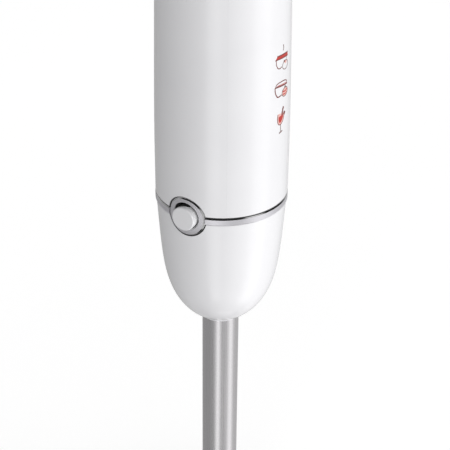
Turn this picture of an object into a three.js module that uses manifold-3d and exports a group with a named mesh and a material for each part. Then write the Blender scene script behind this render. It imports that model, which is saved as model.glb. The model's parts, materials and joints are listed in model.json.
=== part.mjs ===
// Immersion blender: a detachable blending leg (nose, stainless tube, bell guard and blade) under a motor
// unit (white housing, satin trim ring with two release buttons, universal motor, control board, push
// buttons and speed dial). Millimetres, +Z up. The blender stands on the rim of its bell guard, with the
// origin at the centre of the rim. The front, with the push buttons, faces -Y. The release buttons are at
// -X (left) and +X (right).
import * as THREE from "three";
import { mergeVertices } from "three/addons/utils/BufferGeometryUtils.js";
import Module from "manifold-3d";

const wasm = await Module();
wasm.setup();

// ---- Driving dimensions -------------------------------------------------------------------------
const GAP = 0.3; // between neighbouring pieces that touch
const RING_Z = 212.5; // top edge of the trim ring above the floor: the datum of the motor unit and the nose
const HOUSING_HEIGHT = 154; // from the trim ring to the top cap
const HOUSING_BASE_R = 30.9;
const HOUSING_GRIP_R = 29.5; // the housing narrows a little to this radius over the grip
const GRIP_START = 20; // heights between which it narrows
const GRIP_END = 120;
const WALL = 2.2; // plastic shells
const PANEL_HALF_ANGLE = 54; // degrees either side of the front that the front panel covers
const RING_HEIGHT = 3.3;
const RING_R = 30.75;
const EYELET_Z = -1.5; // centre of the release buttons below the ring's top edge
const EYELET_R = 9.65;
const EYELET_HOLE_R = 6.1;
const RELEASE_BUTTON_R = 5.85;
const RELEASE_FACE_X = 32.9; // how far out the release button's face stands
const NOSE_TOP = -RING_HEIGHT - GAP;
const NOSE_R = 30.5;
const NOSE_TAPER = 0.068; // mm of radius for each mm of height, before the dome closes
const NOSE_DOME = 68.1; // height at which the dome would close on the axis
const NOSE_POWER = 5.07; // shape of the dome: exponents of its superellipse
const NOSE_ROOT = 1.546;
const TUBE_R = 9;
const TUBE_WALL = 1;
const TUBE_BOTTOM = 28.7;
const TUBE_TOP = RING_Z - 44.2;
const BELL_R = 33.5;
const BELL_WALL = 1.3;
const VENT_HALF_WIDTH = 7;
const VENT_STRAIGHT = 3; // height of the vent's upright sides, under its round top
const SHAFT_R = 3;
const BLADE_Z = 14;
const BLADE_THICKNESS = 1.6;
const BLADE_REACH = 24;
const SPIGOT_R = 25.5; // the motor unit's spigot in the nose
const SPIGOT_BOTTOM = -26;
const STATOR_BOTTOM = 24;
const STATOR_TOP = 54;
const STATOR_BORE = 14.3;
const POWER_Z = 138; // centres of the two push buttons
const TURBO_Z = 117;
const PUSH_BUTTON_R = 7;
const PUSH_FACE_Y = 31.2; // how far out the push buttons' faces stand
const BEZEL_HALF_WIDTH = 10.5;
const DIAL_R = 17.8;
const CAP_RECESS_R = 18.4;
const CAP_FLOOR = 173;
const GLAND_Z = 162;

const SHELL_SIDES = 40;
const METAL_SIDES = 32;
const EYELET_SIDES = 24;
const INNER_SIDES = 16;
const SMALL_SIDES = 12;

// ---- Materials ----------------------------------------------------------------------------------
const finish = (color, roughness, metalness) => new THREE.MeshStandardMaterial({ color, roughness, metalness });
const whitePlastic = finish(0xf1f1f3, 0.18, 0);
const satinMetal = finish(0xb4b5b9, 0.3, 1);
const steel = finish(0xa8a7a8, 0.28, 1);
const bladeSteel = finish(0xc4c6c9, 0.2, 1);
const greyRubber = finish(0x6e7074, 0.7, 0);
const blackRubber = finish(0x1c1c1e, 0.75, 0);
const greyPlastic = finish(0x8e9094, 0.5, 0);
const blackPlastic = finish(0x242426, 0.5, 0);
const bronze = finish(0x9a6b36, 0.45, 1);
const iron = finish(0x6d6f73, 0.5, 1);
const copper = finish(0xb4622c, 0.35, 1);
const carbon = finish(0x2c2c2e, 0.8, 0);
const boardGreen = finish(0x1d5a38, 0.5, 0);
const aluminium = finish(0xb9bbbe, 0.4, 1);

const SIDES = ["left", "right"];

// ---- Solids -------------------------------------------------------------------------------------
// A closed geometry as a manifold-3d solid.
function solid(geometry) {
  const source = geometry.index ? geometry.toNonIndexed() : geometry;
  const bare = new THREE.BufferGeometry();
  bare.setAttribute("position", source.getAttribute("position"));
  const merged = mergeVertices(bare, 1e-4);
  const index = merged.index.array;
  const triangles = [];
  for (let i = 0; i < index.length; i += 3) {
    const [a, b, c] = [index[i], index[i + 1], index[i + 2]];
    if (a !== b && b !== c && c !== a) triangles.push(a, b, c);
  }
  const vertProperties = merged.attributes.position.array;
  return new wasm.Manifold(new wasm.Mesh({ numProp: 3, vertProperties, triVerts: new Uint32Array(triangles) }));
}

// A solid of revolution about Z from [radius, height] points: an open profile starts and ends on the axis.
function turned(points, sides = INNER_SIDES) {
  const open = points[0][0] === 0 && points[points.length - 1][0] === 0;
  const loop = open ? points : [...points, points[0]];
  let area = 0;
  for (let i = 0; i < points.length; i++) {
    const [a, b] = [points[i], points[(i + 1) % points.length]];
    area += a[0] * b[1] - b[0] * a[1];
  }
  const ordered = area > 0 ? loop : [...loop].reverse();
  const profile = ordered.map(([r, z]) => new THREE.Vector2(r, z));
  return solid(new THREE.LatheGeometry(profile, sides).rotateX(Math.PI / 2));
}

const ringOf = (inner, outer, low, high, sides) =>
  turned([[inner, low], [outer, low], [outer, high], [inner, high]], sides);

const rod = (radius, low, high, sides) => turned([[0, low], [radius, low], [radius, high], [0, high]], sides);

// Turns a solid made along Z to lie along X or Y, its heights becoming distances from the axis of the blender.
const outward = { left: [0, -90, 0], right: [0, 90, 0], front: [90, 0, 0], rear: [-90, 0, 0] };
const facing = (shape, side, z = 0) => shape.rotate(outward[side]).translate([0, 0, z]);

// The same rod pointing out of the left and of the right side, at the height of the release buttons.
const releaseDiscs = (radius, low, high) =>
  SIDES.map((side) => facing(rod(radius, low, high, EYELET_SIDES), side, EYELET_Z));

function block(x, y, z) {
  const size = [x, y, z].map(([low, high]) => high - low);
  const centre = [x, y, z].map(([low, high]) => (low + high) / 2);
  return solid(new THREE.BoxGeometry(...size)).translate(centre);
}

// A flat outline, given as [x, y] points or as a THREE.Shape, pushed up from one height to another.
function extruded(outline, low, high) {
  const given = outline instanceof THREE.Shape;
  const shape = given ? outline : new THREE.Shape(outline.map(([x, y]) => new THREE.Vector2(x, y)));
  const options = { depth: high - low, bevelEnabled: false, curveSegments: 6 };
  return solid(new THREE.ExtrudeGeometry(shape, options)).translate([0, 0, low]);
}

// The outline of a slot with round ends, upright, centred on the origin.
function stadium(halfWidth, halfLength) {
  const shape = new THREE.Shape();
  const straight = halfLength - halfWidth;
  shape.absarc(0, straight, halfWidth, 0, Math.PI, false);
  shape.absarc(0, -straight, halfWidth, Math.PI, 2 * Math.PI, false);
  return shape;
}

class Helix extends THREE.Curve {
  constructor(radius, low, high, turns) {
    super();
    Object.assign(this, { radius, low, high, turns });
  }
  getPoint(t, target = new THREE.Vector3()) {
    const angle = 2 * Math.PI * this.turns * t;
    const height = this.low + (this.high - this.low) * t;
    return target.set(this.radius * Math.cos(angle), this.radius * Math.sin(angle), height);
  }
}

function coilSpring(radius, wire, low, high, turns) {
  const section = new THREE.Shape();
  section.absarc(0, 0, wire, 0, 2 * Math.PI, false);
  const path = new Helix(radius, low + wire, high - wire, turns);
  const options = { steps: turns * 7, curveSegments: 3, bevelEnabled: false, extrudePath: path };
  return solid(new THREE.ExtrudeGeometry(section, options));
}

const join = (first, ...others) => others.reduce((all, next) => all.add(next), first);
const cut = (body, ...tools) => tools.reduce((rest, tool) => rest.subtract(tool), body);

// ---- The scene graph ----------------------------------------------------------------------------
const blender = new THREE.Group();
const leg = new THREE.Group(); // heights from the floor
const upper = new THREE.Group(); // heights from the top edge of the trim ring
upper.position.z = RING_Z;
blender.add(leg, upper);

function place(group, name, shape, material) {
  const { numProp, numVert, vertProperties, triVerts } = shape.getMesh();
  const positions = new Float32Array(numVert * 3);
  for (let i = 0; i < numVert; i++) {
    positions.set(vertProperties.subarray(i * numProp, i * numProp + 3), i * 3);
  }
  const geometry = new THREE.BufferGeometry();
  geometry.setAttribute("position", new THREE.BufferAttribute(positions, 3));
  geometry.setIndex(new THREE.BufferAttribute(new Uint32Array(triVerts), 1));
  geometry.computeVertexNormals();
  const mesh = new THREE.Mesh(geometry, material);
  mesh.name = name;
  group.add(mesh);
}

// ---- Blending leg -------------------------------------------------------------------------------
// The bell guard's outer side from its rim to its neck; the inner side runs one wall thickness inside it.
const BELL_OUTSIDE = [[BELL_R, 0], [BELL_R, 6], [32.2, 15], [28.6, 22.5], [22.6, 28], [14, 33], [10.9, 38]];
const NECK_TOP = 44;
const NECK_R = 10.4;

function bellGuard() {
  const lowered = (i) => (i < 2 ? 0 : BELL_WALL * 0.7);
  const inside = BELL_OUTSIDE.slice(0, 5).map(([r, z], i) => [r - BELL_WALL, z - lowered(i)]);
  const bore = TUBE_R + GAP;
  const shell = turned(
    [...BELL_OUTSIDE, [NECK_R, NECK_TOP - 0.6], [NECK_R - 0.5, NECK_TOP], [bore, NECK_TOP], [bore, 33.4],
      ...inside.reverse()],
    METAL_SIDES,
  );
  const arch = join(
    block([20, 40], [-VENT_HALF_WIDTH, VENT_HALF_WIDTH], [-1, VENT_STRAIGHT]),
    facing(rod(VENT_HALF_WIDTH, 20, 40, SMALL_SIDES), "right", VENT_STRAIGHT),
  );
  return cut(shell, ...[0, 90, 180, 270].map((angle) => arch.rotate([0, 0, angle])));
}

// Two swept wings with their tips bent, one up and one down, round a hub with the shaft's hole.
function bladeWings() {
  const sweep = new THREE.Shape();
  sweep.moveTo(3, -5.2);
  sweep.quadraticCurveTo(13, -6.2, 17, -4.6);
  sweep.lineTo(17, 2.8);
  sweep.quadraticCurveTo(10, 4.6, 3, 5.2);
  const wing = extruded(sweep, 0, BLADE_THICKNESS);
  const tip = block([16.6, BLADE_REACH - 1], [-4.5, 2.7], [0, BLADE_THICKNESS]);
  const bent = (angle) => tip.translate([-16.6, 0, 0]).rotate([0, angle, 0]).translate([16.6, 0, 0]);
  const hub = rod(6.4, 0, BLADE_THICKNESS, INNER_SIDES);
  const whole = join(hub, wing, bent(-22), wing.rotate([0, 0, 180]), bent(14).rotate([0, 0, 180]));
  return cut(whole, rod(SHAFT_R + GAP, -1, 3, SMALL_SIDES)).translate([0, 0, BLADE_Z]);
}

function buildLeg() {
  const bladeTop = BLADE_Z + BLADE_THICKNESS;
  const tubeBore = TUBE_R - TUBE_WALL - GAP;
  const bore = SHAFT_R + GAP;
  place(leg, "bell_guard", bellGuard(), steel);
  place(leg, "shaft_tube", ringOf(TUBE_R - TUBE_WALL, TUBE_R, TUBE_BOTTOM, TUBE_TOP, METAL_SIDES), steel);
  place(leg, "shaft_seal", ringOf(SHAFT_R + 0.15, tubeBore, 30, 35.7), blackRubber);
  place(leg, "lower_bush", ringOf(SHAFT_R + 0.1, tubeBore, 36, 46), bronze);
  place(leg, "drive_shaft", rod(SHAFT_R, 9.5, RING_Z - 30.5, SMALL_SIDES), steel);
  place(leg, "blade", bladeWings(), bladeSteel);
  place(leg, "blade_collar", ringOf(bore, 5.5, bladeTop + GAP, 22, SMALL_SIDES), steel);
  const nut = turned(
    [[0, 6.5], [3.4, 6.5], [5, 8], [5, BLADE_Z - GAP], [bore, BLADE_Z - GAP], [bore, 9.2], [0, 9.2]],
    SMALL_SIDES,
  );
  place(leg, "blade_nut", nut, steel);
}

// ---- Nose: the white dome at the top of the leg -------------------------------------------------
function noseRadius(drop) {
  const share = Math.min(drop / NOSE_DOME, 1);
  return (NOSE_R - NOSE_TAPER * drop) * (1 - share ** NOSE_POWER) ** (1 / NOSE_ROOT);
}

function noseShell() {
  const bore = TUBE_R + 0.35;
  const outside = [0, 16, 30, 40, 48, 54, 59, 63].map((drop) => [noseRadius(drop), NOSE_TOP - drop]);
  const inside = [0, 20, 38, 48, 55].map((drop) => [noseRadius(drop) - WALL, NOSE_TOP - drop]);
  const floor = NOSE_TOP - 61;
  const tip = NOSE_TOP - 65.4;
  const shell = turned(
    [...outside, [bore + 0.6, tip], [bore, tip], [bore, floor], [14, floor], ...inside.reverse()],
    SHELL_SIDES,
  );
  const notches = releaseDiscs(EYELET_R + GAP, 24, 40);
  // Grooves for the latch hooks, open at the mouth so that the unit lifts straight off.
  const grooves = [[-28.1, -24], [24, 28.1]].map((x) => block(x, [-4.2, 4.2], [-22, 0]));
  return cut(shell, ...notches, ...grooves);
}

function buildNose() {
  const coreTop = -31;
  place(upper, "nose_shell", noseShell(), whitePlastic);
  const core = turned([
    [TUBE_R + GAP, -63], [13.2, -63], [13.2, coreTop - 3], [25.2, coreTop - 3], [25.2, coreTop], [8.2, coreTop],
    [8.2, -43.8], [TUBE_R + GAP, -43.8],
  ]);
  place(upper, "leg_core", core, greyPlastic);
  place(upper, "nose_gasket", ringOf(TUBE_R + GAP, 12.8, -64.3, -63.3), greyRubber);
  place(upper, "upper_bush", ringOf(SHAFT_R + 0.1, 7.9, -43.5, -35.2), bronze);
  const socket = rod(6, -28.5, -19, 6);
  const shaftHole = rod(SHAFT_R + GAP, -36, -30.2, SMALL_SIDES);
  place(upper, "leg_coupling", cut(rod(7.8, -34.8, -20, INNER_SIDES), socket, shaftHole), blackPlastic);
}

// ---- Housing ------------------------------------------------------------------------------------
function housingRadius(z) {
  const t = Math.min(Math.max((z - GRIP_START) / (GRIP_END - GRIP_START), 0), 1);
  return HOUSING_BASE_R + (HOUSING_GRIP_R - HOUSING_BASE_R) * t * t * (3 - 2 * t);
}

// A pie slice either side of the front, which the front panel keeps and the rear shell gives up.
function frontSlice(halfAngle) {
  const side = [-1, -0.5, 0, 0.5, 1].map((share) => THREE.MathUtils.degToRad(-90 + share * halfAngle));
  return extruded([[0, 0], ...side.map((a) => [50 * Math.cos(a), 50 * Math.sin(a)])], -20, 200);
}

const BOSS_Y = 23.5; // of the chassis screws, front and rear
const BOSS_R = 3.2;
const SCREW_R = 1.5;
const SCREW_HOLE_R = 1.8;
const CAP_SCREW_X = [-13, 13];
const SHELF = [151, 153.5]; // the shelf under the speed control, across the top of the rear shell

// The housing as one tube, with a boss for the chassis screw at its front and rear.
function housingTube() {
  const heights = [GAP + 0.5, 30, 50, 70, 90, 105, GRIP_END, HOUSING_HEIGHT];
  const outside = heights.map((z) => [housingRadius(z), z]);
  const inside = heights.map((z) => [housingRadius(z) - WALL, z]);
  const edge = [[HOUSING_BASE_R - WALL, GAP], [HOUSING_BASE_R - 0.5, GAP]];
  const tube = turned([...edge, ...outside, ...inside.slice(1).reverse()], SHELL_SIDES);
  const post = rod(BOSS_R, 4.4, 16, SMALL_SIDES).translate([0, BOSS_Y, 0]);
  const rib = block([-1.2, 1.2], [BOSS_Y, HOUSING_BASE_R - 1.2], [4.4, 16]);
  const hole = rod(SCREW_HOLE_R, 4, 14.5, SMALL_SIDES).translate([0, BOSS_Y, 0]);
  const boss = cut(join(post, rib), hole);
  const bosses = [0, 180].map((turn) => boss.rotate([0, 0, turn]));
  const notches = releaseDiscs(EYELET_R + GAP, 24, 40);
  return cut(join(tube, ...bosses), ...notches);
}

// A shelf that clears the front panel and meets the rear shell's wall, with posts for the cap's screws.
function topShelf() {
  const clear = rod(HOUSING_GRIP_R - WALL - GAP, ...SHELF, SHELL_SIDES);
  const anchored = cut(rod(HOUSING_GRIP_R - WALL / 2, ...SHELF, SHELL_SIDES), frontSlice(PANEL_HALF_ANGLE + 2));
  const upright = (radius, low, high) =>
    CAP_SCREW_X.map((x) => rod(radius, low, high, SMALL_SIDES).translate([x, 0, 0]));
  const posts = upright(BOSS_R, SHELF[0], CAP_FLOOR - WALL - GAP);
  const holes = upright(SCREW_HOLE_R, 162, CAP_FLOOR);
  const wireWay = block([-6, 6], [11, 19], [SHELF[0] - 1, SHELF[1] + 1]);
  return cut(join(clear, anchored, ...posts), ...holes, wireWay);
}

function trimRing() {
  const inner = 28.7;
  const band = turned(
    [[inner, -RING_HEIGHT], [RING_R - 0.2, -RING_HEIGHT], [RING_R, -RING_HEIGHT + 0.3], [RING_R, -0.8],
      [RING_R - 0.6, 0], [inner, 0]],
    SHELL_SIDES,
  );
  const around = turned([[inner, -12], [30.45, -12], [30.95, EYELET_Z], [30.95, 9], [inner, 9]], SHELL_SIDES);
  const plates = releaseDiscs(EYELET_R, 24, 36).map((disc) => around.intersect(disc));
  return cut(join(band, ...plates), ...releaseDiscs(EYELET_HOLE_R, 24, 36));
}

// The top cap's outer side, from the housing up to the edge of the recess that the dial sits in.
const CAP_TOP = 177.6;
const CAP_OUTSIDE = [
  [HOUSING_GRIP_R, HOUSING_HEIGHT + GAP], [HOUSING_GRIP_R, 164], [28, 171.5], [24.4, 175.8], [20.4, CAP_TOP],
];

function topCap() {
  const inside = CAP_OUTSIDE.slice(0, 3).map(([r, z]) => [r - WALL, Math.min(z, CAP_FLOOR - WALL)]);
  const bore = SHAFT_R + 0.6;
  const shell = turned(
    [...CAP_OUTSIDE, [CAP_RECESS_R, CAP_TOP], [CAP_RECESS_R, CAP_FLOOR], [bore, CAP_FLOOR],
      [bore, CAP_FLOOR - WALL], ...inside.reverse()],
    SHELL_SIDES,
  );
  const screwHoles = CAP_SCREW_X.map((x) => rod(SCREW_HOLE_R, 160, 180, SMALL_SIDES).translate([x, 0, 0]));
  return cut(shell, ...screwHoles, facing(rod(5.8, 20, 40, INNER_SIDES), "rear", GLAND_Z));
}

function pushBezel() {
  const middle = (POWER_Z + TURBO_Z) / 2;
  const halfLength = (POWER_Z - TURBO_Z) / 2 + BEZEL_HALF_WIDTH;
  const outline = (extra) => stadium(BEZEL_HALF_WIDTH + extra, halfLength + extra);
  const slot = (extra) => facing(extruded(outline(extra), 20, 40), "front", middle);
  const skin = ringOf(26.9, HOUSING_GRIP_R + 0.3, TURBO_Z - 20, POWER_Z + 16, SHELL_SIDES);
  const hole = rod(PUSH_BUTTON_R + GAP, 20, 40, EYELET_SIDES);
  const holes = [POWER_Z, TURBO_Z].map((z) => facing(hole, "front", z));
  return { opening: slot(GAP), bezel: cut(skin.intersect(slot(0)), ...holes) };
}

function buildHousing() {
  const tube = housingTube();
  const { opening, bezel } = pushBezel();
  const seam = THREE.MathUtils.radToDeg(GAP / HOUSING_BASE_R);
  place(upper, "rear_shell", join(cut(tube, frontSlice(PANEL_HALF_ANGLE)), topShelf()), whitePlastic);
  place(upper, "front_panel", cut(tube.intersect(frontSlice(PANEL_HALF_ANGLE - seam)), opening), whitePlastic);
  place(upper, "button_bezel", bezel, greyRubber);
  place(upper, "trim_ring", trimRing(), satinMetal);
  place(upper, "top_cap", topCap(), whitePlastic);
  const gland = turned([
    [3.7, 23.4], [7, 23.4], [7, 25.2], [5.4, 25.2], [5.4, 29.8], [6.8, 29.8], [6.4, 32], [5.6, 32.5],
    [3.7, 32.5],
  ]);
  place(upper, "cord_gland", facing(gland, "rear", GLAND_Z), blackRubber);
}

// ---- Chassis: carries the motor, the latches and the spigot that enters the nose ----------------
const BOLT_SPOTS = [[16, 18.8], [-16, -18.8]];

function chassis() {
  const disc = ringOf(14.8, 28.2, -3, 4);
  const spigot = ringOf(20, SPIGOT_R, SPIGOT_BOTTOM, -2);
  const hub = turned([[11, -14], [15.2, -14], [15.2, 8], [8.3, 8], [8.3, 0], [6, 0], [6, -1], [11, -1]]);
  const pillars = BOLT_SPOTS.map(([x, y]) => rod(3, 3, STATOR_BOTTOM - GAP, 12).translate([x, y, 0]));
  const boltHoles = BOLT_SPOTS.map(([x, y]) => rod(SCREW_HOLE_R, -4, 30, 12).translate([x, y, 0]));
  const screwHoles = [-BOSS_Y, BOSS_Y].map((y) => rod(SCREW_HOLE_R, -30, 5, 12).translate([0, y, 0]));
  const headRooms = [-BOSS_Y, BOSS_Y].map((y) => rod(3.4, -30, -3, 12).translate([0, y, 0]));
  const slots = [[-30, -15.45], [15.45, 30]].map((x) => block(x, [-4.6, 4.6], [-30, 5]));
  const bores = SIDES.map((side) => facing(rod(6.6, 21.9, 30, INNER_SIDES), side, EYELET_Z));
  const whole = join(disc, spigot, hub, ...pillars);
  return cut(whole, ...boltHoles, ...screwHoles, ...headRooms, ...slots, ...bores);
}

// A screw along Z: a head, and a shank that starts inside it.
function screw(headRadius, head, shank) {
  return join(rod(headRadius, ...head, 12), rod(SCREW_R, ...shank, 12));
}

function buildFasteners() {
  for (const [name, y] of [["front", -BOSS_Y], ["rear", BOSS_Y]]) {
    place(upper, `chassis_screw_${name}`, screw(2.8, [-5.4, -3.3], [-4, 13.5]).translate([0, y, 0]), steel);
  }
  CAP_SCREW_X.forEach((x, i) => {
    const body = screw(3, [CAP_FLOOR + GAP, 175.2], [164, 175]).translate([x, 0, 0]);
    place(upper, `cap_screw_${i ? "right" : "left"}`, body, steel);
  });
  BOLT_SPOTS.forEach(([x, y], i) => {
    const bolt = join(rod(SCREW_R, 0, 65.3, 12), rod(2.7, 65.3, 68, 6)).translate([x, y, 0]);
    place(upper, `motor_bolt_${i ? "front" : "rear"}`, bolt, steel);
  });
}

// ---- Motor --------------------------------------------------------------------------------------
const COIL_X = [15.2, 20.2];
const COIL_LEGS = [9, 15]; // distance of a coil's upright legs from the middle of its pole

function statorCore() {
  const stack = ringOf(STATOR_BORE, 27, STATOR_BOTTOM, STATOR_TOP, 32);
  const squared = stack.intersect(block([-23, 23], [-24.6, 24.6], [STATOR_BOTTOM - 1, STATOR_TOP + 1]));
  const slots = [];
  for (const x of [[COIL_X[0] - GAP, COIL_X[1] + GAP], [-COIL_X[1] - GAP, -COIL_X[0] + GAP]]) {
    for (const y of [[COIL_LEGS[0] - GAP, COIL_LEGS[1] + GAP], [-COIL_LEGS[1] - GAP, -COIL_LEGS[0] + GAP]]) {
      slots.push(block(x, y, [STATOR_BOTTOM - 1, STATOR_TOP + 1]));
    }
  }
  const boltHoles = BOLT_SPOTS.map(([x, y]) => rod(SCREW_HOLE_R, 20, 60, 12).translate([x, y, 0]));
  return cut(squared, ...slots, ...boltHoles);
}

function fieldCoil(side) {
  const x = side === "left" ? [-COIL_X[1], -COIL_X[0]] : COIL_X;
  const [inner, outer] = COIL_LEGS;
  const frame = block(x, [-outer, outer], [STATOR_BOTTOM - 6, STATOR_TOP + 6]);
  return cut(frame, block([x[0] - 1, x[1] + 1], [-inner, inner], [STATOR_BOTTOM - GAP, STATOR_TOP + GAP]));
}

// An upright cup over the commutator: a ring on the bolts, a wall with a window for each brush, and a top.
function upperBracket() {
  const cup = turned([
    [21.2, 62], [26.6, 62], [26.6, 65], [22.6, 65], [22.6, 80], [8.3, 80], [8.3, 76], [5.5, 76], [5.5, 75.2],
    [21.2, 75.2],
  ]);
  const boltHoles = BOLT_SPOTS.map(([x, y]) => rod(SCREW_HOLE_R, 60, 66, 12).translate([x, y, 0]));
  const heads = BOLT_SPOTS.map(([x, y]) => rod(3.2, 65, 70, 12).translate([x, y, 0]));
  return cut(cup, ...boltHoles, ...heads, block([-4.4, 4.4], [-30, 30], [63.6, 72.4]));
}

function buildMotor() {
  place(upper, "chassis", chassis(), greyPlastic);
  place(upper, "stator_core", statorCore(), iron);
  for (const side of SIDES) place(upper, `field_coil_${side}`, fieldCoil(side), copper);
  place(upper, "upper_bracket", upperBracket(), aluminium);
  place(upper, "lower_bearing", ringOf(SHAFT_R + 0.1, 8, GAP, 5.3), steel);
  place(upper, "upper_bearing", ringOf(SHAFT_R + 0.1, 8, 76.3, 80.3), steel);
  for (const [name, turn] of [["front", 180], ["rear", 0]]) {
    const tube = cut(block([-4, 4], [9.4, 24], [64, 72]), block([-2.9, 2.9], [8, 23], [65.1, 70.9]));
    place(upper, `brush_holder_${name}`, tube.rotate([0, 0, turn]), blackPlastic);
    const brush = block([-2.6, 2.6], [8.4, 19], [65.4, 70.6]);
    place(upper, `carbon_brush_${name}`, brush.rotate([0, 0, turn]), carbon);
  }
}

// ---- Rotor: everything that turns with the motor shaft ------------------------------------------
function armatureCore() {
  const slots = 10;
  const reach = 13.8;
  const root = 8.6;
  const tooth = [[0.08, reach], [0.42, reach], [0.78, reach], [0.8, root], [0.98, root], [1, reach]];
  const outline = [];
  for (let i = 0; i < slots; i++) {
    for (const [share, r] of tooth) {
      const angle = ((i + share) / slots) * 2 * Math.PI;
      outline.push([r * Math.cos(angle), r * Math.sin(angle)]);
    }
  }
  const bore = rod(SHAFT_R + GAP, STATOR_BOTTOM - 1, STATOR_TOP + 1, SMALL_SIDES);
  return cut(extruded(outline, STATOR_BOTTOM, STATOR_TOP), bore);
}

function coolingFan() {
  const hub = ringOf(SHAFT_R + GAP, 7, 9.5, 17, SMALL_SIDES);
  const plate = ringOf(6.5, 19.2, 15.6, 17);
  const blade = block([6.5, 19], [-0.6, 0.6], [10, 16]);
  const blades = [0, 1, 2, 3, 4, 5, 6, 7].map((i) => blade.rotate([0, 0, i * 45]));
  return join(hub, plate, ...blades);
}

function buildRotor() {
  const bore = SHAFT_R + GAP;
  place(upper, "motor_shaft", rod(SHAFT_R, -24, 82, SMALL_SIDES), steel);
  place(upper, "armature_core", armatureCore(), iron);
  // The turns that stand over the core: those in its slots and under it are left out.
  const winding = turned(
    [[bore, STATOR_TOP + GAP], [11.5, STATOR_TOP + GAP], [12.8, 56.5], [12.2, 59.5], [8, 61], [bore, 61]],
  );
  place(upper, "armature_winding", winding, copper);
  place(upper, "commutator", ringOf(bore, 8, 61.3, 74), copper);
  place(upper, "cooling_fan", coolingFan(), blackPlastic);
  const hex = join(rod(5.4, -28, -14, 6), rod(7.5, -14, -7, SMALL_SIDES));
  place(upper, "motor_coupling", cut(hex, rod(bore, -24.3, 0, SMALL_SIDES)), blackPlastic);
}

// ---- Release buttons, each with its latch and spring --------------------------------------------
function buildRelease() {
  for (const side of SIDES) {
    const button = turned(
      [[0, 24.6], [3, 24.6], [3, 26.4], [RELEASE_BUTTON_R, 26.4], [RELEASE_BUTTON_R, 31.7], [5.3, 32.4],
        [4, 32.75], [0, RELEASE_FACE_X]],
      EYELET_SIDES,
    );
    place(upper, `release_button_${side}`, facing(button, side, EYELET_Z), whitePlastic);
    const hook = join(block([22.3, 24.3], [-4, 4], [-21, 3.5]), block([24, 27.7], [-3.5, 3.5], [-21, -18]));
    place(upper, `latch_${side}`, side === "left" ? hook.rotate([0, 0, 180]) : hook, blackPlastic);
    place(upper, `release_spring_${side}`, facing(coilSpring(2.9, 0.4, 15.8, 22, 3), side, EYELET_Z), steel);
  }
}

// ---- Controls: push buttons, switches, board, speed dial ----------------------------------------
function buildControls() {
  for (const [name, z] of [["power", POWER_Z], ["turbo", TURBO_Z]]) {
    const button = turned(
      [[0, 21.6], [1.8, 21.6], [1.8, 26.6], [PUSH_BUTTON_R, 26.6], [PUSH_BUTTON_R, PUSH_FACE_Y - 0.9],
        [PUSH_BUTTON_R - 0.9, PUSH_FACE_Y], [0, PUSH_FACE_Y - 0.4]],
      EYELET_SIDES,
    );
    place(upper, `${name}_button`, facing(button, "front", z), greyRubber);
    place(upper, `${name}_spring`, facing(coilSpring(3, 0.35, 19, 26.3, 3), "front", z), steel);
    const body = block([-6.5, 6.5], [-18.6, -14], [z - 5, z + 5]);
    const plunger = facing(rod(1.4, 18, 19.4, 12), "front", z);
    place(upper, `${name}_switch`, join(body, plunger), blackPlastic);
  }
  place(upper, "control_board", block([-17, 17], [-13.6, -12], [92, 150]), boardGreen);
  place(upper, "suppressor_capacitor", rod(6, 100, 124, SMALL_SIDES).translate([-8, -5.4, 0]), greyPlastic);
  const fins = [0, 1, 2, 3, 4].map((i) => block([2 + 3 * i, 3.4 + 3 * i], [-11.7, -3], [104, 134]));
  place(upper, "triac_heatsink", join(block([2, 15.4], [-11.7, -9.7], [104, 134]), ...fins), aluminium);
  place(upper, "speed_pot", rod(8, SHELF[1] + GAP, 164, INNER_SIDES), greyPlastic);
  place(upper, "dial_spindle", rod(SHAFT_R, 164.3, 180, SMALL_SIDES), steel);
  const dial = turned(
    [[0, 180.3], [SHAFT_R + GAP, 180.3], [SHAFT_R + GAP, 175.6], [DIAL_R, 175.6], [DIAL_R, 181.2],
      [DIAL_R - 1.2, 183], [9, 184], [0, 184.2]],
    METAL_SIDES,
  );
  place(upper, "speed_dial", dial, satinMetal);
}

buildLeg();
buildNose();
buildHousing();
buildFasteners();
buildMotor();
buildRotor();
buildRelease();
buildControls();

export default blender;
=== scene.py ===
"""Immersion blender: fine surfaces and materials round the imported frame, on a pale floor in studio light.

Sizes are in millimetres and are scaled to metres as a mesh is made. Heights above the trim ring's top edge
are "unit heights"; `raised()` turns them into heights above the floor. The front, with the push buttons,
faces -Y.
"""
import json
from math import atan2, copysign, cos, hypot, pi, radians, sin, sqrt, tan

import bmesh
import bpy
from mathutils import Matrix, Vector


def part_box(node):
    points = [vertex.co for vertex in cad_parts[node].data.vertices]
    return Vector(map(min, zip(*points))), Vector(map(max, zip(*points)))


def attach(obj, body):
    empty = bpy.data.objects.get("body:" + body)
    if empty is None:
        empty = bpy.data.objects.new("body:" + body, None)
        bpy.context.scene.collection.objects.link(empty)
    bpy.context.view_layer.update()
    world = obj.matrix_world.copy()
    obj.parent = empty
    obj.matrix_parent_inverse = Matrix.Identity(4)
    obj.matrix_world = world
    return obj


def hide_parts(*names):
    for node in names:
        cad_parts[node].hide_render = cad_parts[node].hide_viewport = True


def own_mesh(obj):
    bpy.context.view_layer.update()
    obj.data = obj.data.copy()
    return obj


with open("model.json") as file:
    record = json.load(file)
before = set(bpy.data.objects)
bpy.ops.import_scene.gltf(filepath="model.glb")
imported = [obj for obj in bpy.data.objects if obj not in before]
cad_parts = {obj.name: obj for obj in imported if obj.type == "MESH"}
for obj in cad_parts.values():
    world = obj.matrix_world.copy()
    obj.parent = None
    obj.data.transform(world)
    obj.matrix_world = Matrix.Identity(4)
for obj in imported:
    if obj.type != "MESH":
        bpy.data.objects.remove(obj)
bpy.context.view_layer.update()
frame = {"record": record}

# ---- Driving dimensions ----
MM = 0.001
GAP = 0.3
RING_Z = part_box("nose_shell")[1].z / MM + 3.6
RING_HEIGHT = 3.3
HOUSING_HEIGHT = 154
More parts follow.
